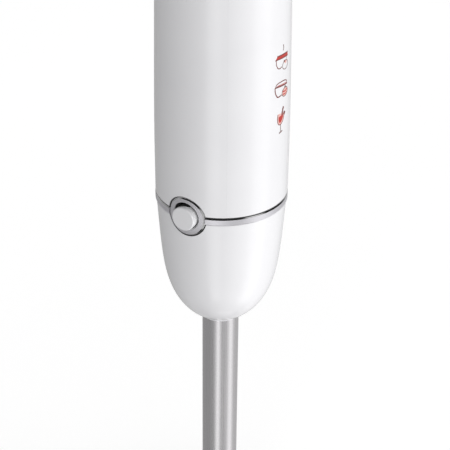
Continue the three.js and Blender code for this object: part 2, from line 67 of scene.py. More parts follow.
HOUSING_BASE_R = 30.9
HOUSING_GRIP_R = 29.5
GRIP_START = 20
GRIP_END = 120
WALL = 2.2
PANEL_HALF_ANGLE = 54
EYELET_Z = -1.5
EYELET_R = 9.65
EYELET_HOLE_R = 6.1
SHADE_SEAL_WIDTH = 0.42  # width of the black seal over the trim ring and round its eyelets; its black is painted shade of the gaps there
NOSE_TOP = -3.6
NOSE_TIP = -69
NOSE_R = 30.5
NOSE_TAPER = 0.068
NOSE_DOME = 68.1
NOSE_POWER = 5.07
NOSE_ROOT = 1.546
TUBE_R = 9
BELL_R = 33.5
BELL_WALL = 1.3
SHAFT_R = 3
BLADE_Z = 14
POWER_Z = 138
TURBO_Z = 117
PUSH_BUTTON_R = 7
BEZEL_HALF_WIDTH = 10.5
BEZEL_HALF_HEIGHT = (POWER_Z - TURBO_Z) / 2 + BEZEL_HALF_WIDTH
BEZEL_Z = (POWER_Z + TURBO_Z) / 2
GLAND_Z = 162
CAP_FLOOR = 173
CAP_SCREW_X = 13
BOSS_Y = 23.5
BOLT_SPOTS = {"rear": (16, 18.8), "front": (-16, -18.8)}
STATOR = (24, 54)
SIDES = 192  # round the large shells
SMALL_SIDES = 64


# ---- Mesh tools ----
def made(name, verts, faces):
    """A mesh object from points in millimetres, its faces turned outwards."""
    mesh = bpy.data.meshes.new(name)
    mesh.from_pydata([tuple(c * MM for c in v) for v in verts], [], faces)
    work = bmesh.new()
    work.from_mesh(mesh)
    bmesh.ops.recalc_face_normals(work, faces=work.faces)
    work.to_mesh(mesh)
    work.free()
    obj = bpy.data.objects.new(name, mesh)
    bpy.context.scene.collection.objects.link(obj)
    return obj


def baked(obj):
    """Turns the object's modifiers into its mesh."""
    evaluated = obj.evaluated_get(bpy.context.evaluated_depsgraph_get())
    mesh = bpy.data.meshes.new_from_object(evaluated)
    obj.modifiers.clear()
    obj.data = mesh
    return obj


def faces_between(a, b, n):
    """Four-sided faces between two loops of n points whose first points are a and b."""
    return [(a + k, a + (k + 1) % n, b + (k + 1) % n, b + k) for k in range(n)]


def carved(obj, *tools, operation="DIFFERENCE"):
    """Cuts, joins or keeps what closed meshes share. The tools are used up."""
    for tool in tools:
        modifier = obj.modifiers.new("carve", "BOOLEAN")
        modifier.object = tool
        modifier.operation = operation
        modifier.solver = "EXACT"
    baked(obj)
    for tool in tools:
        bpy.data.objects.remove(tool)
    return obj


def fused(obj, *tools):
    return carved(obj, *tools, operation="UNION")


def smoothed(obj, edge=0.2, angle=35, steps=2):
    """Rounds the sharp edges by `edge` millimetres and shades the rest smooth."""
    if edge:
        modifier = obj.modifiers.new("edges", "BEVEL")
        modifier.width = edge * MM
        modifier.segments = steps
        modifier.limit_method = "ANGLE"
        modifier.angle_limit = radians(angle)
        modifier.use_clamp_overlap = True
        baked(obj)
    obj.data.shade_smooth()
    obj.data.set_sharp_from_angle(angle=radians(angle))
    modifier = obj.modifiers.new("normals", "WEIGHTED_NORMAL")
    modifier.keep_sharp = True
    return baked(obj)


def rounded(points, radius, steps=5):
    """The outline with each corner off the axis turned into an arc. A point may carry its own radius."""
    result = []
    count = len(points)
    for i, point in enumerate(points):
        here = Vector(point[:2])
        before = Vector(points[i - 1][:2])
        after = Vector(points[(i + 1) % count][:2])
        size = point[2] if len(point) > 2 else radius
        back, ahead = before - here, after - here
        if size <= 0 or here.x < 1e-6 or back.length < 1e-6 or ahead.length < 1e-6:
            result.append(tuple(here))
            continue
        angle = back.angle(ahead)
        if angle > radians(172):
            result.append(tuple(here))
            continue
        reach = min(size / tan(angle / 2), back.length * 0.48, ahead.length * 0.48)
        start, end = here + back.normalized() * reach, here + ahead.normalized() * reach
        for k in range(steps + 1):
            t = k / steps
            result.append(tuple(start * (1 - t) ** 2 + here * (2 * t * (1 - t)) + end * t ** 2))
    return result


def curve_through(points, steps=6):
    """A smooth line through the points."""
    pts = [Vector(p) for p in points]
    pts = [pts[0] * 2 - pts[1], *pts, pts[-1] * 2 - pts[-2]]
    line = []
    for a, b, c, d in zip(pts, pts[1:], pts[2:], pts[3:]):
        for k in range(steps):
            t = k / steps
            line.append(tuple(0.5 * (2 * b + (c - a) * t + (2 * a - 5 * b + 4 * c - d) * t ** 2
                                     + (3 * b - a - 3 * c + d) * t ** 3)))
    return [*line, tuple(pts[-2])]


def inset(line, distance):
    """The line moved to its left by a distance."""
    result = []
    for i, point in enumerate(line):
        along = (Vector(line[min(i + 1, len(line) - 1)]) - Vector(line[max(i - 1, 0)])).normalized()
        result.append((point[0] - along.y * distance, point[1] + along.x * distance))
    return result


def turned(name, profile, sides=SMALL_SIDES, start=0, sweep=360, radius_at=None):
    """A solid of revolution about Z from a closed [radius, height] outline, or a slice of one, capped at
    both ends. `radius_at(radius, height, angle)` may vary the radius round the axis."""
    outline = [p[:2] for p in profile]
    whole = sweep >= 360
    columns = sides if whole else sides + 1
    verts, index = [], {}
    for i, (r, z) in enumerate(outline):
        for k in range(columns):
            if r < 1e-6 and k and whole:
                index[i, k] = index[i, 0]
                continue
            angle = radians(start + sweep * k / sides)
            reach = radius_at(r, z, angle) if radius_at else r
            index[i, k] = len(verts)
            verts.append((reach * cos(angle), reach * sin(angle), z))
    faces = []
    count = len(outline)
    for i in range(count):
        j = (i + 1) % count
        if outline[i][0] < 1e-6 and outline[j][0] < 1e-6:
            continue
        for k in range(sides):
            m = (k + 1) % columns
            face = [index[i, k], index[i, m], index[j, m], index[j, k]]
            face = [v for n, v in enumerate(face) if v != face[n - 1]]
            if len(face) > 2:
                faces.append(face)
    if not whole:
        faces.append([index[i, 0] for i in range(count)])
        faces.append([index[i, sides] for i in reversed(range(count))])
    return made(name, verts, faces)


def lathed(profile, edge=0.3, sides=SMALL_SIDES, **options):
    """A turned piece with the corners of its outline rounded by `edge`."""
    return turned("piece", rounded(profile, edge), sides, **options)


def ring(inner, outer, low, high, edge=0.3, sides=SMALL_SIDES):
    return lathed([(inner, low), (outer, low), (outer, high), (inner, high)], edge, sides)


def rod(radius, low, high, sides=SMALL_SIDES, edge=0):
    return lathed([(0, low), (radius, low), (radius, high), (0, high)], edge, sides)


def block(x, y, z):
    verts = [(a, b, c) for a in x for b in y for c in z]
    faces = [(0, 1, 3, 2), (4, 6, 7, 5), (0, 4, 5, 1), (2, 3, 7, 6), (0, 2, 6, 4), (1, 5, 7, 3)]
    return made("tool", verts, faces)


def loft(*layers):
    """A solid through flat outlines of equally many points, each given with its height."""
    n = len(layers[0][0])
    verts = [(x, y, z) for outline, z in layers for x, y in outline]
    faces = [list(range(n)), list(range(len(verts) - n, len(verts)))]
    for start in range(0, len(verts) - n, n):
        faces += faces_between(start, start + n, n)
    return made("tool", verts, faces)


def prism(outline, low, high):
    return loft((outline, low), (outline, high))


def ribbon(line, width, low, high, closed=False):
    """A flat strip along a line, as a thin solid."""
    count = len(line)
    verts = []
    for i, point in enumerate(line):
        before = line[i - 1] if closed or i else line[0]
        after = line[(i + 1) % count] if closed or i < count - 1 else line[-1]
        along = (Vector(after) - Vector(before)).normalized() * width / 2
        for side, z in ((1, low), (-1, low), (-1, high), (1, high)):
            verts.append((point[0] - along.y * side, point[1] + along.x * side, z))
    faces = [] if closed else [(0, 1, 2, 3), tuple(4 * count - n for n in (4, 3, 2, 1))]
    for i in range(count if closed else count - 1):
        faces += faces_between(4 * i, 4 * ((i + 1) % count), 4)
    return made("ribbon", verts, faces)


def coil(radius, wire, low, high, turns):
    """A compression spring along Z."""
    steps, around = 26 * turns, 10
    verts = []
    for i in range(steps + 1):
        angle = 2 * pi * turns * i / steps
        z = low + wire + (high - low - 2 * wire) * i / steps
        for k in range(around):
            turn = 2 * pi * k / around
            reach = radius + wire * cos(turn)
            verts.append((reach * cos(angle), reach * sin(angle), z + wire * sin(turn)))
    last = steps * around
    faces = [list(range(around)), list(range(last, last + around))]
    for start in range(0, last, around):
        faces += faces_between(start, start + around, around)
    return made("spring", verts, faces)


SIDE_TURNS = {"left": ("Y", -90), "right": ("Y", 90), "front": ("X", 90), "rear": ("X", -90)}


def facing(obj, side, height=0):
    """Turns a piece made along Z to point out of one side of the blender, at a height above the floor."""
    axis, degrees = SIDE_TURNS[side]
    turn = Matrix.Rotation(radians(degrees), 4, axis)
    obj.data.transform(Matrix.Translation((0, 0, height * MM)) @ turn)
    return obj


def moved(obj, x=0, y=0, z=0, degrees=0):
    turn = Matrix.Rotation(radians(degrees), 4, "Z")
    obj.data.transform(Matrix.Translation((x * MM, y * MM, z * MM)) @ turn)
    return obj


def raised(obj):
    """From unit heights to heights above the floor."""
    return moved(obj, z=RING_Z)


def joined(obj, *others):
    """Puts the others' meshes into the first object's, as separate shells."""
    whole = bmesh.new()
    for part in (obj, *others):
        whole.from_mesh(part.data)
    whole.to_mesh(obj.data)
    whole.free()
    for part in others:
        bpy.data.objects.remove(part)
    return obj


def tinted(obj, index):
    """Gives all of a mesh one of the piece's materials."""
    for polygon in obj.data.polygons:
        polygon.material_index = index
    return obj


def sliced(obj, positions):
    """Adds edges across a mesh at these x positions, so that it can bend there."""
    work = bmesh.new()
    work.from_mesh(obj.data)
    for x in positions:
        parts = [*work.verts, *work.edges, *work.faces]
        bmesh.ops.bisect_plane(work, geom=parts, dist=1e-7, plane_co=(x * MM, 0, 0), plane_no=(1, 0, 0))
    work.to_mesh(obj.data)
    work.free()
    return obj


def wrapped(obj, surface):
    """Bends a flat piece round the front: x runs along the girth, y is the unit height, and z stands out
    from `surface(y)`, the radius there."""
    reach = max(abs(v.co.x) for v in obj.data.vertices) / MM
    count = int(reach / 0.6)
    sliced(obj, [0.6 * k for k in range(-count, count + 1)])
    for vertex in obj.data.vertices:
        x, y, z = (c / MM for c in vertex.co)
        angle = x / surface(y)
        radius = surface(y) + z
        vertex.co = (radius * sin(angle) * MM, -radius * cos(angle) * MM, (RING_Z + y) * MM)
    return obj


def stadium(half_width, half_length):
    straight, steps = half_length - half_width, 24
    outline = []
    for k in range(2 * steps):
        angle = pi * k / steps
        y = straight if k < steps else -straight
        outline.append((half_width * cos(angle), y + half_width * sin(angle)))
    return outline


def ellipse(x, y, half_width, half_height):
    angles = [2 * pi * k / 28 for k in range(28)]
    return [(x + half_width * cos(a), y + half_height * sin(a)) for a in angles]


def six_sided(radius):
    angles = [radians(60 * k) for k in range(6)]
    return [(radius * cos(a), radius * sin(a)) for a in angles]


# ---- Shader nodes ----
class Nodes:
    """Makes and links the nodes of one tree."""

    def __init__(self, tree):
        self.tree = tree

    def feed(self, node, *values, **named):
        """Gives a node's first inputs and its named inputs these values, or other nodes' outputs."""
        by_name = [(node.inputs[key.replace("_", " ")], value) for key, value in named.items()]
        for socket, value in (*zip(node.inputs, values), *by_name):
            if hasattr(value, "links"):
                self.tree.links.new(value, socket)
            else:
                socket.default_value = value
        return node

    def add(self, kind, *values, **named):
        return self.feed(self.tree.nodes.new(kind), *values, **named)

    def ranged(self, value, start, end, low, high, fade="SMOOTHSTEP"):
        """Maps the stretch from `start` to `end` onto `low` to `high`."""
        node = self.add("ShaderNodeMapRange", value, start, end, low, high)
        node.interpolation_type = fade
        return node.outputs[0]


class Shader(Nodes):
    """A Principled material with procedural variation in the piece's own coordinates."""

    def __init__(self, name, **settings):
        self.material = bpy.data.materials.new(name)
        self.material.use_nodes = True
        super().__init__(self.material.node_tree)
        self.place = self.add("ShaderNodeTexCoord").outputs["Object"]
        self.give(**settings)

    def give(self, **settings):
        """Feeds the material's own inputs."""
        self.feed(self.tree.nodes["Principled BSDF"], **settings)
        return self

    def noise(self, per_mm, stretch=(1, 1, 1), detail=3):
        """Noise with about `per_mm` features a millimetre, stretched by dividing each axis."""
        mapping = self.add("ShaderNodeMapping", Vector=self.place, Scale=[per_mm / MM / s for s in stretch])
        return self.add("ShaderNodeTexNoise", Vector=mapping.outputs[0], Scale=1, Detail=detail,
                        Roughness=0.55).outputs["Fac"]

    def spread(self, value, low, high):
        """The middle stretch of a noise, where nearly all of it lies, as a range from `low` to `high`."""
        return self.ranged(value, 0.3, 0.7, low, high, "LINEAR")

    def colour(self, value, first, second):
        """Mixes two colours, each given as red, green and blue."""
        node = self.add("ShaderNodeMix", Factor=self.spread(value, 0, 1))
        node.data_type = "RGBA"
        node.inputs[6].default_value = (*first, 1)
        node.inputs[7].default_value = (*second, 1)
        return self.give(Base_Color=node.outputs[2])

    def rough(self, value, low, high):
        return self.give(Roughness=self.spread(value, low, high))

    def bump(self, value, depth_mm):
        """Relief whose full swing is `depth_mm` deep."""
        node = self.add("ShaderNodeBump", Height=value, Strength=1.0, Distance=depth_mm * MM)
        return self.give(Normal=node.outputs[0])

    def brushed_round(self, amount):
        """Highlights that spread round the axis of the piece, as brushing along its length makes them."""
        tangent = self.add("ShaderNodeTangent")
        tangent.direction_type = "RADIAL"
        tangent.axis = "Z"
        return self.give(Tangent=tangent.outputs[0], Anisotropic=amount)


# ---- Materials ----
def shade(level, warmth=0.0):
    """A grey, a little warm or cool."""
    return (level * (1 + warmth), level, level * (1 - warmth))


def gloss_white():
    s = Shader("white_gloss", IOR=1.5, Coat_Weight=0.3, Coat_Roughness=0.08)
    s.colour(s.noise(0.05, detail=2), (0.886, 0.883, 0.904), (0.904, 0.901, 0.92))
    s.rough(s.noise(0.3), 0.22, 0.27)
    return s.bump(s.noise(0.3, detail=1), 0.002).material


def satin_trim():
    s = Shader("satin_trim", Metallic=1.0)
    grain = s.noise(5, detail=4)
    s.colour(grain, (0.74, 0.73, 0.765), (0.82, 0.808, 0.845))
    return s.rough(s.noise(2.5, detail=4), 0.44, 0.54).bump(grain, 0.003).material


def polished_trim():
    s = Shader("polished_trim", Metallic=1.0)
    s.colour(s.noise(0.5), shade(0.58), shade(0.66))
    return s.rough(s.noise(3), 0.05, 0.1).material


def brushed_steel():
    s = Shader("brushed_steel", Metallic=1.0).brushed_round(0.75)
    lines = s.noise(3.5, stretch=(1, 1, 250), detail=4)
    s.colour(lines, (0.6, 0.588, 0.6), (0.665, 0.652, 0.665))
    return s.rough(lines, 0.22, 0.3).bump(lines, 0.002).material


def turned_steel():
    s = Shader("turned_steel", Metallic=1.0)
    rings = s.noise(6, stretch=(40, 40, 1), detail=3)
    s.colour(rings, shade(0.48), shade(0.6))
    return s.rough(s.noise(1.2), 0.18, 0.34).bump(rings, 0.003).material


def ground_steel():
    s = Shader("ground_steel", Metallic=1.0)
    scratches = s.noise(3, stretch=(1, 14, 1), detail=5)
    s.colour(scratches, shade(0.56, -0.01), shade(0.7, -0.01))
    return s.rough(scratches, 0.16, 0.34).bump(scratches, 0.004).material


def soft_grey():
    s = Shader("soft_grey", Sheen_Weight=0.15, IOR=1.45)
    s.colour(s.noise(0.3), shade(0.17, -0.02), shade(0.2, -0.02))
    return s.rough(s.noise(1.5), 0.55, 0.7).bump(s.noise(5, detail=2), 0.006).material


def rubber():
    s = Shader("black_rubber", Sheen_Weight=0.1)
    s.colour(s.noise(0.6), shade(0.018), shade(0.03))
    return s.rough(s.noise(2), 0.6, 0.8).bump(s.noise(4, detail=3), 0.01).material


def moulded(name, level, warmth=0.0):
    s = Shader(name, IOR=1.46)
    s.colour(s.noise(0.25), shade(level * 0.9, warmth), shade(level * 1.1, warmth))
    return s.rough(s.noise(1.2), 0.42, 0.6).bump(s.noise(6, detail=2), 0.006).material


def sintered_bronze():
    s = Shader("bronze", Metallic=1.0)
    pores = s.noise(7, detail=4)
    s.colour(pores, (0.36, 0.2, 0.08), (0.62, 0.4, 0.19))
    return s.rough(pores, 0.36, 0.6).bump(pores, 0.012).material


def stacked_sheets():
    s = Shader("lamination", Metallic=0.9)
    sheets = s.noise(2.2, stretch=(400, 400, 1), detail=2)
    s.colour(sheets, shade(0.13, -0.02), shade(0.26, -0.02))
    return s.rough(s.noise(2), 0.4, 0.62).bump(sheets, 0.05).material


def wound_copper():
    s = Shader("copper", Metallic=1.0, Coat_Weight=0.4)
    wires = s.noise(2.6, stretch=(1, 60, 60), detail=1)
    s.colour(wires, (0.42, 0.13, 0.045), (0.82, 0.36, 0.17))
    return s.rough(wires, 0.24, 0.42).bump(wires, 0.09).material


def pressed_carbon():
    s = Shader("carbon", Metallic=0.3)
    grain = s.noise(8, detail=5)
    s.colour(grain, shade(0.025), shade(0.06))
    return s.rough(grain, 0.5, 0.75).bump(grain, 0.01).material


def lacquered_board():
    s = Shader("board_green", Coat_Weight=0.5, Coat_Roughness=0.12)
    tracks = s.noise(0.5, stretch=(1, 1, 5), detail=1)
    s.colour(tracks, (0.012, 0.09, 0.035), (0.025, 0.17, 0.07))
    return s.rough(s.noise(2), 0.3, 0.42).bump(tracks, 0.03).material


def cast_aluminium():
    s = Shader("cast_aluminium", Metallic=1.0)
    grain = s.noise(2.2, detail=5)
    s.colour(grain, shade(0.5, -0.01), shade(0.66, -0.01))
    return s.rough(grain, 0.36, 0.55).bump(grain, 0.02).material


def ink(name, thin, full):
    s = Shader(name, IOR=1.45)
    s.colour(s.noise(2.5, detail=3), thin, full)
    return s.rough(s.noise(2), 0.38, 0.5).material


MATERIALS = {
    "white_gloss": gloss_white(),
    "satin_trim": satin_trim(),
    "polished_trim": polished_trim(),
    "brushed_steel": brushed_steel(),
    "blade_steel": ground_steel(),
    "plain_steel": turned_steel(),
    "grey_soft": soft_grey(),
    "black_rubber": rubber(),
    "grey_plastic": moulded("grey_plastic", 0.3, -0.01),
    "black_plastic": moulded("black_plastic", 0.03),
    "bronze": sintered_bronze(),
    "lamination": stacked_sheets(),
    "copper": wound_copper(),
    "carbon": pressed_carbon(),
    "board_green": lacquered_board(),
    "cast_aluminium": cast_aluminium(),
    "ink_red": ink("ink_red", (0.6, 0.05, 0.035), (0.5, 0.025, 0.02)),
    "ink_pale": ink("ink_pale", (0.88, 0.55, 0.5), (0.82, 0.42, 0.38)),
    "ink_line": ink("ink_line", (0.25, 0.06, 0.05), (0.18, 0.04, 0.035)),
    "ink_grey": ink("ink_grey", (0.26, 0.16, 0.145), (0.2, 0.12, 0.11)),
}

# ---- Placing ----
BODY_OF = {n: body for body, nodes in frame["record"]["behaviour"]["bodies"].items() for n in nodes}
SLOT_OF = {part["node"]: part["material_slot"] for part in frame["record"]["subparts"]}


def finished(obj, node, *materials):
    """Puts a finished piece on its CAD node's body in the node's place, in the node's own material or
    in the materials that its faces name."""
    obj.name = f"{node}_surface"
    obj.data.name = obj.name
    for name in materials or [SLOT_OF[node]]:
        obj.data.materials.append(MATERIALS[name])
    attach(obj, BODY_OF[node])
    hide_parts(node)
    return obj


def fitted(obj, node, edge=0, angle=35, steps=2):
    """Smooths a piece made in unit heights and puts it in its node's place."""
    return finished(raised(smoothed(obj, edge, angle, steps)), node)


# ---- Housing ----
def housing_radius(z):
    """Outer radius at a unit height."""
    t = min(max((z - GRIP_START) / (GRIP_END - GRIP_START), 0), 1)
    return HOUSING_BASE_R + (HOUSING_GRIP_R - HOUSING_BASE_R) * t * t * (3 - 2 * t)


def housing_profile():
    heights = [GRIP_START + (GRIP_END - GRIP_START) * k / 20 for k in range(21)]
    outside = [(housing_radius(z), z, 0) for z in heights]
    inside = [(housing_radius(z) - WALL, z, 0) for z in reversed(heights)]
    foot = [(HOUSING_BASE_R - WALL, SHADE_SEAL_WIDTH + 0.04, 0.1), (HOUSING_BASE_R, SHADE_SEAL_WIDTH + 0.04, 0.4)]
    head = [(HOUSING_GRIP_R, HOUSING_HEIGHT, 0.25), (HOUSING_GRIP_R - WALL, HOUSING_HEIGHT, 0.1)]
    return rounded([*foot, *outside, *head, *inside], 0)


def release_discs(radius, low=24, high=40):
    """Discs that point out of both sides at the release buttons, in unit heights."""
    left, right = (facing(rod(radius, low, high, 96), side, EYELET_Z) for side in ("left", "right"))
    return joined(left, right)


def screw_boss(y):
    post = ring(1.8, 3.2, 4.4, 16, 0.2, 32)
    rib = block((-1.2, 1.2), (3, HOUSING_BASE_R - 1.2 - BOSS_Y), (4.4, 15.9))
    return moved(fused(post, rib), y=y, degrees=0 if y > 0 else 180)


def cap_post(x):
    outline = [(0, 153), (3.2, 153), (3.2, 170.5), (1.8, 170.5), (1.8, 162), (0, 162)]
    return moved(lathed(outline, 0.2, 32), x=x)


def build_housing():
    profile = housing_profile()
    half = PANEL_HALF_ANGLE
    parting = 0.01  # degrees left open at each edge of the front panel
    rear = turned("rear", profile, 168, -90 + half + parting, 360 - 2 * half - 2 * parting)
    shelf = fused(rod(27, 151, 153.5, 96, 0.2), cap_post(-CAP_SCREW_X), cap_post(CAP_SCREW_X))
    carved(shelf, block((-6, 6), (11, 19), (150, 155)))
    anchor = lathed([(20, 151.1), (28, 151.1), (28, 153.4), (20, 153.4)], 0, 96, start=-34, sweep=248)
    rear = fused(rear, fused(shelf, anchor), screw_boss(BOSS_Y))
    carved(rear, release_discs(EYELET_R + SHADE_SEAL_WIDTH))
    fitted(rear, "rear_shell", 0.09)
    panel = turned("panel", profile, 84, -90 - half + parting, 2 * half - 2 * parting)
    opening = prism(stadium(BEZEL_HALF_WIDTH + 0.15, BEZEL_HALF_HEIGHT + 0.15), 20, 40)
    panel = carved(fused(panel, screw_boss(-BOSS_Y)), facing(opening, "front", BEZEL_Z))
    fitted(panel, "front_panel", 0.09)


# ---- Pictograms: what the blender is for, printed on the front panel ----
INKS = ["ink_red", "ink_pale", "ink_line", "ink_grey"]
RED, PALE, LINE, GREY = range(len(INKS))
PRINT_FOOT = -0.02  # how far the print reaches into the panel


def patch(ink_index, outline, height):
    return tinted(prism(outline, PRINT_FOOT, height), ink_index)


def stroke(ink_index, line, width, height, closed=False):
    return tinted(ribbon(line, width, PRINT_FOOT, height, closed), ink_index)


def icon_pot():
    """A pot with a thick lid, steam above it and a fruit beside it."""
    lid = [(-5.3, 71.4), (5.1, 70.8), (4.9, 72.4), (-4.0, 72.8)]
    jar = curve_through([(-4.8, 71.2), (-4.6, 69.2), (-3.6, 67.5), (-2.2, 66.9), (-0.6, 67.3)])
    return [
        patch(RED, lid, 0.04),
        stroke(LINE, [(-4.1, 72.9), (5.0, 72.5)], 0.42, 0.06),
        stroke(LINE, [(-5.4, 71.4), (5.2, 70.8)], 0.42, 0.06),
        stroke(LINE, jar, 0.42, 0.05),
        stroke(GREY, curve_through([(0.5, 74.4), (0.9, 75.6), (0.6, 77)]), 0.5, 0.05),
        stroke(GREY, ellipse(2.7, 67.3, 2.6, 2.0), 0.36, 0.05, closed=True),
        patch(PALE, ellipse(3.0, 68.5, 1.0, 0.7), 0.04),
        patch(LINE, ellipse(1.7, 69.1, 0.7, 0.5), 0.05),
        stroke(GREY, [(3.9, 70.6), (3.6, 69.0)], 0.26, 0.05),
    ]


def icon_bowl():
    """A bowl under a curved lid, with a berry."""
    edge = [(-5.4, 58.9), (4.9, 58.0)]
    dome = curve_through([(-5.1, 59.0), (-3.9, 60.2), (-0.5, 60.5), (2.8, 60.1), (4.3, 59.3), (4.6, 58.2)])
    bowl = curve_through([(-5.4, 58.9), (-5.2, 56.8), (-4.2, 54.8), (-3.0, 54.0), (-0.4, 54.2)])
    return [
        stroke(LINE, edge, 0.6, 0.06),
        stroke(RED, [(-3.9, 59.3), (3.9, 58.7)], 0.3, 0.04),
        stroke(LINE, dome, 0.42, 0.05),
        stroke(LINE, bowl, 0.55, 0.05),
        patch(PALE, ellipse(2.8, 54.7, 2.8, 2.0), 0.03),
        stroke(GREY, ellipse(2.8, 54.7, 2.8, 2.0), 0.4, 0.05, closed=True),
        stroke(RED, curve_through([(0.5, 55.5), (2.8, 55.0), (5.1, 55.5)]), 0.6, 0.04),
        stroke(RED, curve_through([(0.9, 54.1), (2.8, 53.7), (4.7, 54.1)]), 0.55, 0.04),
        patch(GREY, ellipse(2.8, 57.1, 0.7, 0.6), 0.05),
    ]


def icon_glass():
    """A stemmed glass with a drink, a straw and a slice on its edge."""
    cup = [(-3.1, 45.8), (-3.3, 43.6), (-3.0, 41.7), (-1.9, 40.5), (-0.2, 40.6), (1.4, 41.9), (2.0, 43.6)]
    drink = [(-2.5, 44.4), (-2.5, 43.4), (-2.2, 42.0), (-1.3, 41.3), (-0.1, 41.9), (1.1, 43.3), (1.3, 44.6)]
    cup, drink = curve_through([*cup, (2.1, 45.3)]), curve_through(drink)
    return [
        patch(PALE, cup[::-1], 0.03),
        patch(RED, drink[::-1], 0.05),
        stroke(LINE, cup, 0.38, 0.06),
        stroke(LINE, curve_through([(0.2, 44.4), (0.6, 46.0), (1.5, 48.2)]), 1.1, 0.06),
        stroke(LINE, [(1.9, 44.2), (2.9, 45.4)], 1.6, 0.05),
        stroke(GREY, [(-0.9, 40.4), (-0.6, 36.9)], 0.42, 0.05),
        stroke(GREY, [(-1.9, 36.4), (0.8, 36.9)], 0.65, 0.05),
    ]


def build_pictograms():
    marks = *icon_pot(), *icon_bowl(), *icon_glass()
    print_layer = joined(*(wrapped(mark, housing_radius) for mark in marks))
    print_layer.name = print_layer.data.name = "front_panel_pictograms"
    for name in INKS:
        print_layer.data.materials.append(MATERIALS[name])
    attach(print_layer, "motor_unit")


# ---- Nose ----
def nose_radius(drop):
    share = min(drop / NOSE_DOME, 1)
    return (NOSE_R - NOSE_TAPER * drop) * (1 - share ** NOSE_POWER) ** (1 / NOSE_ROOT)


def build_nose():
    bore = TUBE_R + 0.35
    drops = [60 * sin(pi / 2 * k / 30) for k in range(1, 31)]
    drops += [61, 62, 63, 64, 64.6]
    outside = [(nose_radius(d), NOSE_TOP - d, 0) for d in drops]
    inside = [(nose_radius(d) - WALL, NOSE_TOP - d, 0) for d in reversed(drops) if d < 56]
    lip = [(nose_radius(0) - WALL, NOSE_TOP, 0.1), (NOSE_R, NOSE_TOP, 0.3)]
    tip = [(bore + 1.1, NOSE_TIP + 0.3, 0.5), (bore, NOSE_TIP, 0.3)]
    floor = [(bore, NOSE_TOP - 61, 0), (14, NOSE_TOP - 61, 0.3)]
    shell = turned("nose", rounded([*lip, *outside, *tip, *floor, *inside], 0), SIDES)
    grooves = joined(*(block(x, (-4.2, 4.2), (-22, 0)) for x in ((-28.1, -24), (24, 28.1))))
    carved(shell, release_discs(EYELET_R + SHADE_SEAL_WIDTH), grooves)
    fitted(shell, "nose_shell", 0.12)


# ---- Trim ring ----
# The black third finish is painted shade: the seal over the ring and round the eyelets, and the eyelets'
# bores.
TRIM_FINISHES = ["satin_trim", "polished_trim", "black_rubber"]
SATIN, POLISHED, PAINTED_SHADE = range(len(TRIM_FINISHES))
EYELET_CHAMFER = 0.8
EYELET_STEPS = 144


def eyelet_surface(z):
    """Radius of the eyelet's outer face about the blender's axis at a unit height."""
    return 30.95 if z > EYELET_Z else 30.95 - 0.05 * (EYELET_Z - z)


def eyelet(side):
    """A washer with polished chamfers and a black bore, and the black seal round it; the black of bore and
    seal is painted shade of the hole and the gap.
    """
    c = EYELET_CHAMFER
    metal = rounded([(EYELET_HOLE_R, -2, 0), (EYELET_HOLE_R, -c), (EYELET_HOLE_R + c, 0),
                     (EYELET_R - c, 0), (EYELET_R, -c), (EYELET_R, -2, 0)], 0.05, 2)
    washer = swept_eyelet(side, metal)
    # The bore takes the black finish: painted shade inside the hole.
    for index, face in enumerate(washer.data.polygons):
        i = index // EYELET_STEPS
        (r0, h0), (r1, h1) = metal[i], metal[(i + 1) % len(metal)]
        bore = max(r0, r1) < EYELET_HOLE_R + 0.01
        slanted = abs(r1 - r0) > 0.02 and abs(h1 - h0) > 0.02
        face.material_index = PAINTED_SHADE if bore else POLISHED if slanted else SATIN
    # The black seal round the washer is painted shade of the gap between the eyelet and the shells.
    low, high = -1.9, -0.7
    inner, outer = EYELET_R - 0.1, EYELET_R + SHADE_SEAL_WIDTH - 0.04
    edge = [(inner, low), (inner, high), (outer, high), (outer, low)]
    return joined(washer, tinted(swept_eyelet(side, rounded(edge, 0.1)), PAINTED_SHADE))


def swept_eyelet(side, outline):
    """An outline of [radius, height over the housing] swept round a release button."""
    steps = EYELET_STEPS
    sign = -1 if side == "left" else 1
    verts, faces = [], []
    for rho, over in outline:
        for k in range(steps):
            angle = 2 * pi * k / steps
            reach = rho + 0.35 * max(0, sin(angle)) ** 2 * (rho < EYELET_HOLE_R + 1)
            y, z = sign * reach * cos(angle), EYELET_Z + reach * sin(angle)
            x = sqrt(eyelet_surface(z) ** 2 - y * y) + over
            verts.append((sign * x, y, z))
    for i in range(len(outline)):
        faces += faces_between(i * steps, (i + 1) % len(outline) * steps, steps)
    return made("eyelet", verts, faces)


def build_trim_ring():
    face, chamfer = 31.0, 0.62
    band = lathed([(28.7, -RING_HEIGHT), (face, -RING_HEIGHT, 0.2), (face, -chamfer, 0.06),
                   (face - chamfer, 0, 0.06), (28.7, 0)], 0, SIDES)
    carved(band, release_discs(EYELET_R - 0.05))
    for part in band.data.polygons:
        outer = part.center.to_2d().length / MM > face - chamfer - 0.1
        part.material_index = POLISHED if part.normal.z > 0.3 and outer else SATIN
    # The black seal over the ring, under the housing's foot, is painted shade of the gap there.
    seal = lathed([(28.9, 0.02), (face - 0.25, 0.02), (face - 0.25, SHADE_SEAL_WIDTH), (28.9, SHADE_SEAL_WIDTH)], 0.1, SIDES)
    carved(seal, release_discs(EYELET_R))
    ring_metal = smoothed(joined(band, tinted(seal, PAINTED_SHADE), eyelet("left"), eyelet("right")), 0, 30)
    finished(raised(ring_metal), "trim_ring", *TRIM_FINISHES)


# ---- Release buttons, latches and springs ----
RELEASE_R = 5.7
SKIRT_X = 30.4  # where the skirt of a release button starts, and the black crescent of painted shade over it
PAINTED_SHADE_AT = 31  # degrees from the top of the button towards its rear, where the crescent of painted shade centres


